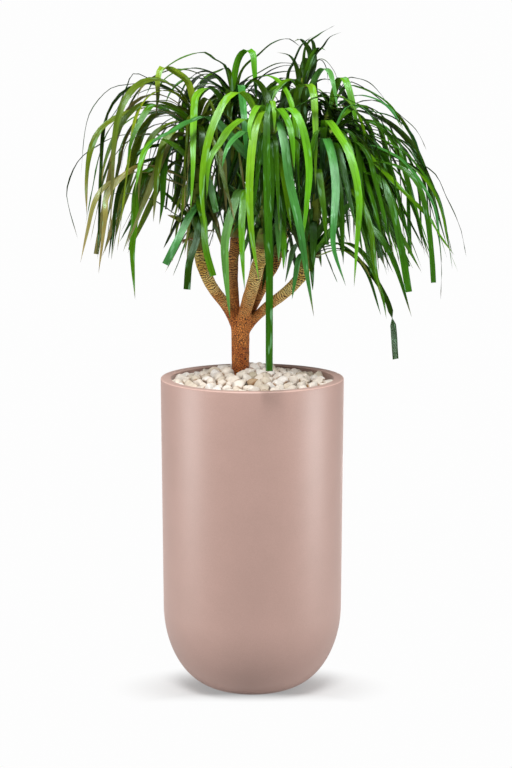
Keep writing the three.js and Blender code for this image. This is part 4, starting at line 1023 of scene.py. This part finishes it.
def make_pebbles(material):
    """The pebble layer on a bed of the same stone material, dark brown as painted shade in the
    gaps, in one mesh.
    """
    rng = np.random.default_rng(PEBBLE_SEED)
    place, radii = settle_pebbles(rng)
    shape = Shape()
    fine, coarse = ball(PEBBLE_FINE), ball(PEBBLE_COARSE)
    odd = {sized(place - where).argmin(): tint for where, tint in ODD_PEBBLES}
    for number, (centre, radius) in enumerate(zip(place, radii)):
        shows = centre[2] > bed_height(centre[:2]) - BURIED
        base, faces = fine if shows else coarse
        body = centre + tumbled(base, rng) @ random_turn(rng).T * radius
        tint = linear(odd.get(number, WHITES[rng.integers(len(WHITES))]))
        # How close each point lies to another pebble, for the painted shade there.
        others = np.delete(np.arange(len(place)), number)
        clear = sized(body[:, None] - place[others]) - radii[others]
        between = np.clip(1 - clear.min(axis=1) / PAINTED_SHADE_REACH, 0, 1)
        shape.add(body, faces, tint=np.tile(tint, (len(body), 1)), between=between**PAINTED_SHADE_CURVE)

    wall = POT_TOP_RADIUS - POT_WALL - BED_GAP
    low = np.array([0, 0, SOIL_TOP + BED_GAP])
    rings = [wall * share * circle(BED_SIDES) + low for share in BED_LOW_RINGS]
    for share in BED_TOP_RINGS:
        spot = wall * share * circle(BED_SIDES)[:, :2]
        rings.append(np.column_stack([spot, bed_height(spot) - BED_UNDER_PEBBLES]))
    middle = np.array([0, 0, bed_height(np.zeros(2)) - BED_UNDER_PEBBLES])
    body, faces = lofted(rings, low, middle)
    # Dark brown, as painted shade in the gaps.
    shape.add(body, faces, tint=np.tile(linear(BED_PAINTED_SHADE), (len(body), 1)),
              between=np.zeros(len(body)))
    return shape.make("pebble_layer", material)


# ---- Trunk and branches ----


def limb_samples():
    """Points along the trunk and each bare branch: place, distance, share up, and warmth."""
    samples = []
    for height in np.arange(TRUNK["root"], TRUNK["fork"] + 1, TRUNK_SAMPLE_STEP):
        samples.append(((TRUNK["x"], TRUNK["y"], height), height - TRUNK["fork"], 0.0, 0.0))
    for head, limb in LIMBS.items():
        line = curve_points(limb["line"], np.linspace(0, limb["bare"] - 1, LIMB_SAMPLES))
        lengths = run_length(line)
        for point, length in zip(line, lengths):
            samples.append((point, length, length / lengths[-1], WARM_LIMBS.get(head, 0)))
    return samples


def grown_together():
    """Trunk and branches as one closed mesh, in millimetres: points and faces."""
    shape = Shape()
    radii = np.array(TRUNK_GIRTHS) * TRUNK["radius"]
    centres = [np.array([TRUNK["x"], TRUNK["y"], height]) for height in TRUNK_LEVELS]
    up = np.array([0, 0, 1])
    shape.add(*lofted([ring_around(centre, up, radius, TRUNK_SIDES)
                       for centre, radius in zip(centres, radii)]))
    for limb in LIMBS.values():
        places = np.linspace(0, limb["bare"] - 1, BRANCH_RINGS)
        shape.add(*lofted([ring_around(*on_limb(limb, place), branch_radius(limb, place),
                                       BRANCH_SIDES) for place in places]))
    blank = bpy.data.materials.new("blank")
    rough = shape.make("rough_trunk", blank)
    remesh = rough.modifiers.new("remesh", "REMESH")
    remesh.mode = "VOXEL"
    remesh.voxel_size = GROWN_VOXEL * MM
    smooth = rough.modifiers.new("smooth", "SMOOTH")
    smooth.factor = GROWN_SMOOTHING
    smooth.iterations = GROWN_ROUNDS
    graph = bpy.context.evaluated_depsgraph_get()
    mesh = bpy.data.meshes.new_from_object(rough.evaluated_get(graph))
    bpy.data.objects.remove(rough)
    bpy.data.materials.remove(blank)
    return mesh


def read_points(mesh, field):
    """A vector of every point of a mesh, such as its place or its normal."""
    values = np.zeros(len(mesh.vertices) * 3, np.float32)
    mesh.vertices.foreach_get(field, values)
    return values.reshape(-1, 3)


def write_places(mesh, points):
    mesh.vertices.foreach_set("co", (points * MM).astype(np.float32).ravel())
    mesh.update()


def smooth_fork(mesh, points):
    """Evens out the hollows where the branches part, in place."""
    ends = edge_ends(mesh)
    shares = np.bincount(ends.ravel(), minlength=len(points))[:, None]
    near_fork = np.exp(-(((points[:, 2] - FORK_HEIGHT) / FORK_REACH) ** 2))[:, None]
    for _ in range(FORK_ROUNDS):
        around = np.zeros_like(points)
        for axis in range(3):
            around[:, axis] = (
                np.bincount(ends[:, 0], points[ends[:, 1], axis], len(points))
                + np.bincount(ends[:, 1], points[ends[:, 0], axis], len(points)))
        points += FORK_SMOOTHING * near_fork * (around / shares - points)


def noise_over(points, size):
    return np.array([noise.noise(Vector(point / size)) for point in points])


def make_trunk(material):
    """The grown piece with its wrinkles and lumps pressed into the surface."""
    mesh = grown_together()
    mesh.name = "trunk_and_branches"
    points = read_points(mesh, "co") / MM
    smooth_fork(mesh, points)
    samples = limb_samples()
    tree = kdtree.KDTree(len(samples))
    for index, (point, *_) in enumerate(samples):
        tree.insert(point, index)
    tree.balance()
    nearest = [samples[tree.find(point)[1]] for point in points]
    along, share, warm = np.array([values for _, *values in nearest]).T
    up = np.clip((share - SKIN_PART[0]) / (SKIN_PART[1] - SKIN_PART[0]), 0, 1)
    write_places(mesh, points)
    grain = noise_over(points, GRAIN_SIZE)
    rings = (along / RING_SPACING + RING_WAVER * noise_over(points, WAVER_SIZE)
             + RING_GRAIN * grain)
    hollow = 1 - np.abs(np.sin(math.pi * rings))
    press = (LUMP_DEPTH * noise_over(points, LUMP_SIZE) + GRAIN_DEPTH * grain
             - up * RING_DEPTH * hollow**2)
    write_places(mesh, points + read_points(mesh, "normal") * press[:, None])
    for name, value in (("rings", rings), ("up", up), ("share", share), ("warm", warm)):
        layer = mesh.attributes.new(name, "FLOAT", "POINT")
        layer.data.foreach_set("value", value.astype(np.float32))
    mesh.materials.clear()
    return shown(mesh, material)


# ---- Leaves: where they grow ----


@dataclass
class Leaf:
    """A centre line, and what a blade needs round it; `mark` is the leaf's own number.

    `across` is level, and square to the line at its root. The blade turns by `twist` radians
    on the way to its tip.
    """
    head: str
    line: np.ndarray
    across: np.ndarray
    width: float
    twist: float
    cut: bool
    tint: str
    mark: int

    @property
    def length(self):
        return sized(np.diff(self.line, axis=0)).sum()


def half_width(leaf, part):
    root = np.minimum(1, part / ROOT_PART)
    past = np.maximum(0, part - TAPER_PART) / (1 - TAPER_PART)
    return leaf.width / 2 * root * (CUT_WIDTH_SHARE if leaf.cut else 1 - past**2)


def turned(vectors, axes, angles):
    """Vectors turned about unit axes by angles."""
    c, s = np.cos(angles)[:, None], np.sin(angles)[:, None]
    along = (vectors * axes).sum(axis=1, keepdims=True)
    return vectors * c + np.cross(axes, vectors) * s + axes * along * (1 - c)


def frames(leaf, parts):
    """The blade's points at parts of its length, its direction and its sideways direction."""
    here = np.floor(np.array(parts) * LINE_STEPS + 0.5).astype(int)
    before = leaf.line[np.maximum(0, here - 2)]
    after = leaf.line[np.minimum(LINE_STEPS, here + 2)]
    along = unit(after - before)
    across = turned(np.tile(leaf.across, (len(here), 1)), along, leaf.twist * np.array(parts))
    across = unit(across - along * (across * along).sum(axis=1, keepdims=True))
    return leaf.line[here], along, across


def coverage(leaf):
    """Points over the blade, close enough together to find another blade that crosses."""
    parts = np.array(STATIONS, float)
    middle, _, across = frames(leaf, parts)
    half = half_width(leaf, parts)
    found = []
    for k in range(1, len(parts)):
        steps = math.ceil(sized(middle[k] - middle[k - 1]) / SAMPLE_STEP)
        share = ((np.arange(steps) + 0.5) / steps)[:, None]
        centres = mix(middle[k - 1], middle[k], share)
        sideways = mix(across[k - 1], across[k], share)
        side = mix(half[k - 1], half[k], share) * SAMPLE_SIDE
        found += [centres - sideways * side, centres, centres + sideways * side]
    points = np.vstack(found)
    crowded = sized(points - leaf.line[0]) < CROWDED
    return list(zip(points.tolist(), crowded.tolist()))


def arch(root, azimuth, rise, fall, bend, length):
    """A line that leaves its root at one slope and bends smoothly over to another."""
    part = np.minimum(1, (np.arange(LINE_STEPS) + 0.5) / LINE_STEPS / bend)
    angle = np.radians(rise + (fall - rise) * part * part * (3 - 2 * part))
    flat = np.cos(angle)
    steps = np.stack([flat * math.cos(azimuth), flat * math.sin(azimuth), np.sin(angle)], axis=1)
    return root + np.vstack([np.zeros(3), np.cumsum(steps, axis=0)]) * length / LINE_STEPS


def above(outline, points):
    """How far points show above an outline of the crown."""
    nearer = EYE_DISTANCE / (EYE_DISTANCE + points[:, 1])
    height = EYE_HEIGHT + (points[:, 2] - EYE_HEIGHT) * nearer
    return height - np.interp(points[:, 0] * nearer, *zip(*outline))


def is_over(line, limb):
    """Whether any of the leaf rises above the crown's outline or its own head's ceiling."""
    return (above(CROWN_TOP, line) > 0).any() or line[:, 2].max() > limb["ceiling"]


def level(azimuth):
    """The level direction square to an azimuth."""
    return np.array([-math.sin(azimuth), math.cos(azimuth), 0])


def placed_leaf(row, mark):
    """A leaf through its own points, turned towards the front as far as its row says."""
    head, share, width, turn, cut, tint, *points = row
    root, _ = on_stem(LIMBS[head], share)
    line = even_points([tuple(root), *points], LINE_STEPS)
    heading = math.atan2(*(line[-1] - root)[1::-1])
    to_front = math.atan2(-math.cos(heading), -math.sin(heading))
    limit = math.radians(turn)
    facing = heading + min(limit, max(-limit, to_front))
    return Leaf(head, line, level(facing), width, 0, cut == 1, tint, mark)


def ruled_leaf(head, index, attempt):
    """A leaf by the rule: it leaves the stem at an angle, arches over and hangs."""
    limb, number = LIMBS[head], HEADS.index(head)

    def pick(what):
        return draw(2, number, index, attempt, what)

    if index >= EXTRA_FROM:
        share = mix(*EXTRA_ROOTS, pick(11))
        lean, twist, foot = EXTRA_LEANS[head], EXTRA_TWIST, EXTRA_FOOT
        reach = mix(*EXTRA_REACH, pick(10) ** EXTRA_REACH_CURVE) * limb["reach"]
    else:
        share = mix(*LEAFY_PART, ((index + 0.5) / limb["leaves"]) ** TIP_CROWDING)
        lean, twist, foot = LEAN, TWIST_SPREAD, CROWN_FOOT
        reach = mix(*REACH_SHARE, pick(10)) * limb["reach"]
    spread = AZIMUTH_SPREAD + AZIMUTH_SPREAD_STEP * attempt
    azimuth = math.radians(index * GOLDEN_ANGLE + (pick(1) - 0.5) * spread
                           + number * HEAD_ANGLE)
    azimuth += lean * math.sin(math.radians(limb["lean"]) - azimuth)
    rise = mix(*RISE_RANGE, share) + (pick(2) - 0.5) * RISE_SPREAD
    length = mix(*LENGTH_RANGE, share) * mix(*LENGTH_SHARE, pick(3))
    fall = -mix(*FALL_RANGE, pick(4))
    bend = mix(*BEND_RANGE, pick(5))
    low = pick(6) * TIP_SPREAD
    root, _ = on_stem(limb, share)
    root = root + ROOT_OFFSET * np.array([math.cos(azimuth), math.sin(azimuth), 0])
    line = arch(root, azimuth, rise, fall, bend, length)
    while length > SHORTEST:
        over = is_over(line, limb)
        wide = math.hypot(*(line[-1] - root)[:2]) > reach
        if over and rise > 0:
            rise -= FLATTER
        elif wide and not over and bend > TIGHTEST_BEND:
            bend -= TIGHTER
        elif over or wide or above(foot, line[-1:])[0] < low:
            length *= SHORTER
        else:
            break
        line = arch(root, azimuth, rise, fall, bend, length)
    tints = HEAD_TINTS[head]
    tint = tints[int(draw(3, number, index) * len(tints))]
    return Leaf(head, line, level(azimuth), mix(*WIDTH_RANGE, pick(7)),
                math.radians((pick(8) - 0.5) * twist), pick(9) < CUT_LEAVES, tint,
                1000 * (number + 1) + index)


class Space:
    """The points that limbs and leaves take up, in cells, to keep leaves clear of each other."""

    def __init__(self):
        self.cells = {}

    def claim(self, points, owner):
        for at, crowded in points:
            i, j, k = (math.floor(value / CLEARANCE) for value in at)
            entry = (at, crowded, owner)
            for key in [(i + a, j + b, k + c) for a in (-1, 0, 1) for b in (-1, 0, 1)
                        for c in (-1, 0, 1)]:
                self.cells.setdefault(key, []).append(entry)

    def is_free(self, points, owner, others=CLEARANCE, own=OWN_CLEARANCE):
        for at, crowded in points:
            key = tuple(math.floor(value / CLEARANCE) for value in at)
            for there, packed, held_by in self.cells.get(key, ()):
                apart = math.dist(at, there)
                if held_by != owner:
                    if apart <= others:
                        return False
                elif not (crowded or packed) and apart <= own:
                    return False
        return True


def claim_limb(space, head):
    limb = LIMBS[head]
    clear_end = limb["bare"] - 1 - BRANCH_CLEAR_END
    rings = [(on_limb(limb, place), branch_radius(limb, place), "trunk")
             for place in np.arange(0, clear_end, BRANCH_RING_STEP)]
    rings += [(on_stem(limb, share), stem_radius(limb, share), head)
              for share in np.arange(0, 1, STEM_RING_STEP)]
    for (point, along), radius, owner in rings:
        ring = ring_around(point, along, radius, LIMB_RING_SIDES)
        space.claim([(at, True) for at in ring.tolist()], owner)


def grow_leaves():
    """Every leaf: the placed ones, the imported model's by the rule, and the extra ones."""
    leaves = [placed_leaf(row, mark) for mark, row in enumerate(PLACED + TUFT)]
    space = Space()
    for head in HEADS:
        claim_limb(space, head)
    for leaf in leaves:
        space.claim(coverage(leaf), leaf.head)

    low, high = cad_box / MM

    def is_welcome(leaf, index):
        if index >= EXTRA_FROM and (leaf.length < EXTRA_LENGTH
                                    or is_over(leaf.line + EXTRA_DROP, LIMBS[leaf.head])):
            return False
        return (leaf.line > low).all() and (leaf.line < high).all()

    def grow(head, index, tries, **clearance):
        for attempt in range(tries):
            leaf = ruled_leaf(head, index, attempt)
            points = coverage(leaf)
            if is_welcome(leaf, index) and space.is_free(points, head, **clearance):
                space.claim(points, head)
                leaves.append(leaf)
                return

    def grow_all(counts, first, tries, **clearance):
        """Grows each head's leaves in turn, from the tip of its stem down."""
        for index in range(max(counts.values()) - 1, -1, -1):
            for head in HEADS:
                if index < counts[head]:
                    grow(head, first + index, tries, **clearance)

    grow_all({head: limb["leaves"] for head, limb in LIMBS.items()}, 0, TRIES)
    grow_all(EXTRA_LEAVES, EXTRA_FROM, EXTRA_TRIES, others=EXTRA_CLEARANCE, own=EXTRA_CLEARANCE)
    return leaves


# ---- Leaves: their shape ----


class Crowding:
    """How closely leaves stand about a place, for the painted shade inside the crown."""

    CELL, MARGIN, ROUNDS = 25, 200, 3
    FULL_AT_PERCENTILE = 96
    MIDDLE, OUTWARD = (8, 0, 1000), 45

    def __init__(self, leaves):
        points = np.vstack([leaf.line for leaf in leaves])
        self.low = points.min(axis=0) - self.MARGIN
        count = np.ceil((points.max(axis=0) + self.MARGIN - self.low) / self.CELL).astype(int)
        high = self.low + count * self.CELL
        cells, _ = np.histogramdd(points, bins=count, range=list(zip(self.low, high)))
        for _ in range(self.ROUNDS):
            for axis in range(3):
                cells = (np.roll(cells, 1, axis) + cells + np.roll(cells, -1, axis)) / 3
        self.cells = cells / np.percentile(cells[cells > 0.01], self.FULL_AT_PERCENTILE)

    def at(self, points):
        """How crowded it is, from 0 to 1, a little further out than the points are."""
        outward = unit(points - self.MIDDLE)
        places = ((points + self.OUTWARD * outward - self.low) / self.CELL).astype(int)
        return np.clip(self.cells[tuple(places.T)], 0, 1)[:, None]


def leaf_tints(leaf, parts, crowded):
    """The blade's colour at parts of its length: pale at the root, and dry at many tips, with
    painted light near the root and painted shade further down and inside the crown.
    """
    body = np.array(linear(TINTS[leaf.tint]))
    root, tip = np.array(linear(ROOT_TINT)), np.array(linear(TIP_TINT))
    tone, red, blue = (mix(*span, draw(4, leaf.mark, number))
                       for number, span in enumerate((TONES, REDS, BLUES), 1))
    body = body * [tone * red, tone, tone * blue, 1]
    at_root = np.clip(1 - parts / ROOT_TINT_PART, 0, 1)[:, None] ** ROOT_TINT_CURVE
    if leaf.tint in AGED:
        dry = mix(*DRY_FROM_AGED, draw(4, leaf.mark, 5))
    else:
        dry = mix(*DRY_FROM, draw(4, leaf.mark, 4))
    at_tip = (1 - leaf.cut) * np.clip((parts - dry) / (TIP_END - dry), 0, 1)[:, None]
    # Painted light near the root and painted shade further down the blade.
    down = np.clip((parts - DOWN_PART[0]) / (DOWN_PART[1] - DOWN_PART[0]), 0, 1)[:, None]
    body = body * mix(np.array(ROOT_PAINTED_LIGHT), np.array(LOWER_PAINTED_SHADE), down)
    colour = mix(mix(body, root, ROOT_TINT_SHARE * at_root), tip, at_tip)
    # Painted shade inside the crown, where the leaves stand close.
    crowded = crowded * (1 - ROOT_UNSHADED * at_root)
    return np.clip(colour * (1 - crowded * CROWN_SHADE), 0, 1)


def blade_half_width(leaf, parts):
    """Half of the blade's width, with the sheath that clasps the stem, and the torn place."""
    half = half_width(leaf, parts) * (PLACED_WIDTH_SHARE if leaf.mark < len(PLACED) else 1)
    if leaf.mark == TORN_LEAF:
        torn = np.abs(parts - TORN_AT) < 0.01
        half *= np.where(parts > TORN_AT, TORN_WIDENED, 1) - TORN_NARROWED * torn
    sheath = leaf.width / 2 * np.clip(SHEATH_START - parts / SHEATH_PART, 0, SHEATH_WIDTH)
    return np.maximum(half, sheath)


def add_blade(shape, flags, leaf, crowding):
    """A thin strap with a channel along its middle, through rings of eight points."""
    parts = np.arange(0, LINE_STEPS + 1, 2) / LINE_STEPS
    middle, along, across = frames(leaf, parts)
    upward = np.cross(along, across)
    half = blade_half_width(leaf, parts)
    phase = 2 * math.pi * draw(5, leaf.mark, 1)
    ripple = mix(*RIPPLE_DEPTHS, draw(5, leaf.mark, 2))
    turns = leaf.length / mix(*RIPPLE_LENGTHS, draw(5, leaf.mark, 3))
    rings = []
    for k, part in enumerate(parts):
        keel = KEEL * min(1, half[k] / KEEL_FULL_AT)
        thick = THICKNESS * min(1, half[k] / THICK_FULL_AT)
        sway = ripple * math.sin(2 * math.pi * turns * part + phase)
        ring = []
        for j, side in enumerate(SECTION):
            height = side * sway - keel * (1 - abs(side) ** KEEL_CURVE)
            if j >= FIRST_BENEATH:
                height -= thick * (1 - abs(side))
            ring.append(middle[k] + across[k] * half[k] * side + upward[k] * height)
        rings.append(np.array(ring))
    crowded = crowding.at(middle)
    tints = leaf_tints(leaf, parts, crowded)
    distance = leaf.length * parts + GRAIN_SHIFT * draw(5, leaf.mark, 4)
    if leaf.cut:
        points, faces = lofted(rings)
    else:
        rings, distance, tints, crowded = rings[:-1], distance[:-1], tints[:-1], crowded[:-1]
        points, faces = lofted(rings, tip=leaf.line[-1])
    edge = np.tile(EDGE_MARKS, len(rings))
    if leaf.cut:
        edge[-len(SECTION):] = CUT_END_MARK

    def at_points(values):
        """The values of the rings for each point, and for the points at both ends."""
        return np.concatenate([np.repeat(values, len(SECTION), axis=0), values[[0, -1]]])

    shape.add(points, faces, tint=at_points(tints), along=at_points(distance),
              across=[*np.tile(SECTION, len(rings)), 0, 0], deep=at_points(crowded[:, 0]))
    flags.append(np.concatenate([edge, [0, 0]]))


def add_stem(shape, flags, head):
    """The core that the leaves grow from, ringed with the scars of old ones."""
    limb = LIMBS[head]
    shares = np.linspace(0.002, 1, STEM_RINGS)
    rings = []
    for k, share in enumerate(shares):
        radius = stem_radius(limb, share) * (1 + STEM_SCAR * math.sin(k * STEM_SCAR_TURN))
        rings.append(ring_around(*on_stem(limb, share), radius, STEM_SIDES))
    points, faces = lofted(rings)
    green, brown = np.array(linear(STEM_GREEN)), np.array(linear(STEM_BROWN))
    tints = mix(brown, green, np.minimum(1, shares / STEM_BROWN_PART)[:, None])
    colour = np.vstack([np.repeat(tints, STEM_SIDES, axis=0), tints[0], tints[-1]])
    shape.add(points, faces, tint=colour, across=np.zeros(len(points)), along=points[:, 2],
              deep=np.ones(len(points)))
    flags.append(np.zeros(len(points), int))


def short_leaf(head, index):
    """One of the broad short leaves that fan out at the seat, or a dried end among them."""
    limb, number = LIMBS[head], HEADS.index(head)

    def pick(what):
        return draw(6, number, index, what)

    dried = index >= FANNED
    azimuth = math.radians(index * GOLDEN_ANGLE + number * SHORT_ANGLE)
    root, _ = on_stem(limb, mix(*SHORT_ROOTS, pick(1)))
    rise = mix(*(DRIED_RISE if dried else FANNED_RISE), pick(2))
    length = mix(*(DRIED_LENGTH if dried else FANNED_LENGTH), pick(3))
    line = arch(root, azimuth, rise, rise - mix(*SHORT_FALL, pick(4)), SHORT_BEND, length)
    tint = "dry" if dried else SHORT_TINTS[int(pick(5) * len(SHORT_TINTS))]
    return Leaf(head, line, level(azimuth), mix(*SHORT_WIDTH, pick(6)),
                math.radians((pick(7) - 0.5) * SHORT_TWIST), dried, tint,
                9000 + 100 * number + index)


def make_crown(head, leaves, crowding, material):
    shape, flags = Shape(), []
    add_stem(shape, flags, head)
    for leaf in leaves:
        if leaf.head == head:
            add_blade(shape, flags, leaf, crowding)
    for index in range(FANNED + DRIED):
        add_blade(shape, flags, short_leaf(head, index), crowding)
    made = shape.make("leaves_" + head, material)
    mark_sharp(made.data, np.concatenate(flags))
    return made


# ---- Floor, light and camera ----


def floor_disc(name, height, material):
    """A wide round floor, a hair under the planter so that it never meets its foot."""
    mesh = bmesh.new()
    bmesh.ops.create_circle(mesh, cap_ends=True, segments=96, radius=FLOOR_RADIUS)
    data = bpy.data.meshes.new(name)
    mesh.to_mesh(data)
    mesh.free()
    data.materials.append(material)
    made = bpy.data.objects.new(name, data)
    made.location.z = height
    bpy.context.scene.collection.objects.link(made)
    return made


def make_floor():
    """A white floor that fades into the white backdrop, and the darker one that light sees.

    The shadow shows in an oval round the planter's foot and not in front of it.
    """
    white, tree = new_material("floor_white")
    place = place_in_object(tree)
    moved = add(tree, "VectorMath", place, SHADOW_SHIFT)
    squeezed = add(tree, "VectorMath", moved.outputs[0], SHADOW_SQUEEZE,
                   setup={"operation": "MULTIPLY"})
    far = add(tree, "VectorMath", squeezed.outputs[0], setup={"operation": "LENGTH"})
    fade = scaled(tree, far.outputs["Value"], *SHADOW_FADE)
    before = scaled(tree, add(tree, "SeparateXYZ", place).outputs["Y"], *SHADOW_FRONT, 1, 0)
    matte = add(tree, "BsdfDiffuse", Color=FLOOR_SEEN)
    plain = add(tree, "Emission", Color=(1, 1, 1, 1), Strength=BACKDROP)
    finished(white, tree, add(tree, "MixShader", sums(tree, "MAXIMUM", fade, before),
                              matte.outputs[0], plain.outputs[0]))
    seen = floor_disc("floor", -0.0005, white)
    for kind in ("diffuse", "glossy", "transmission", "volume_scatter", "shadow"):
        setattr(seen, "visible_" + kind, False)
    dull, tree = new_material("floor_bounce")
    finished(dull, tree, add(tree, "BsdfDiffuse", Color=FLOOR_LIT))
    floor_disc("floor_bounce", -0.001, dull).visible_camera = False


def softbox(name, place, target, size, power, mirrored):
    light = bpy.data.lights.new(name, "AREA")
    light.shape = "RECTANGLE"
    light.size, light.size_y = size
    light.energy = power
    made = bpy.data.objects.new(name, light)
    made.location = place
    made.rotation_euler = (Vector(target) - Vector(place)).to_track_quat("-Z", "Y").to_euler()
    made.visible_camera = False
    made.visible_glossy = mirrored
    bpy.context.scene.collection.objects.link(made)


def make_world():
    """Even light all round, darker where it is mirrored and white where the camera sees it."""
    world = bpy.data.worlds.new("studio")
    world.use_nodes = True
    tree = world.node_tree
    tree.nodes.clear()
    path = add(tree, "LightPath").outputs
    strength = plus(tree, SURROUND, times(tree, path["Is Glossy Ray"], MIRRORED - SURROUND))
    strength = sums(tree, "MAXIMUM", strength, times(tree, path["Is Camera Ray"], BACKDROP))
    shine = add(tree, "Background", Color=(1, 1, 1, 1), Strength=strength)
    tree.links.new(shine.outputs[0], add(tree, "OutputWorld").inputs[0])
    bpy.context.scene.world = world


def make_camera():
    camera = bpy.data.objects.new("camera", bpy.data.cameras.new("camera"))
    camera.data.lens = CAMERA_LENS
    camera.location = CAMERA_PLACE
    camera.rotation_euler = (math.radians(90 - CAMERA_PITCH), 0, 0)
    bpy.context.scene.collection.objects.link(camera)
    bpy.context.scene.camera = camera


# ---- The scene ----


def place_piece(piece, node):
    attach(piece, "root")
    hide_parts(node)


make_camera()
make_world()
for light_name, light_values in SOFTBOXES.items():
    softbox(light_name, *light_values)
make_floor()

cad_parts["soil"].data.materials.clear()
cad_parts["soil"].data.materials.append(soil_material())
place_piece(make_pot(clay_material()), "pot")
place_piece(make_pebbles(stone_material()), "pebbles")
place_piece(make_trunk(bark_material()), "trunk")
foliage = leaf_material()
all_leaves = grow_leaves()
all_crowding = Crowding(all_leaves)
for head_name in HEADS:
    place_piece(make_crown(head_name, all_leaves, all_crowding, foliage), "crown_" + head_name)

bpy.context.scene.view_settings.view_transform = "Standard"
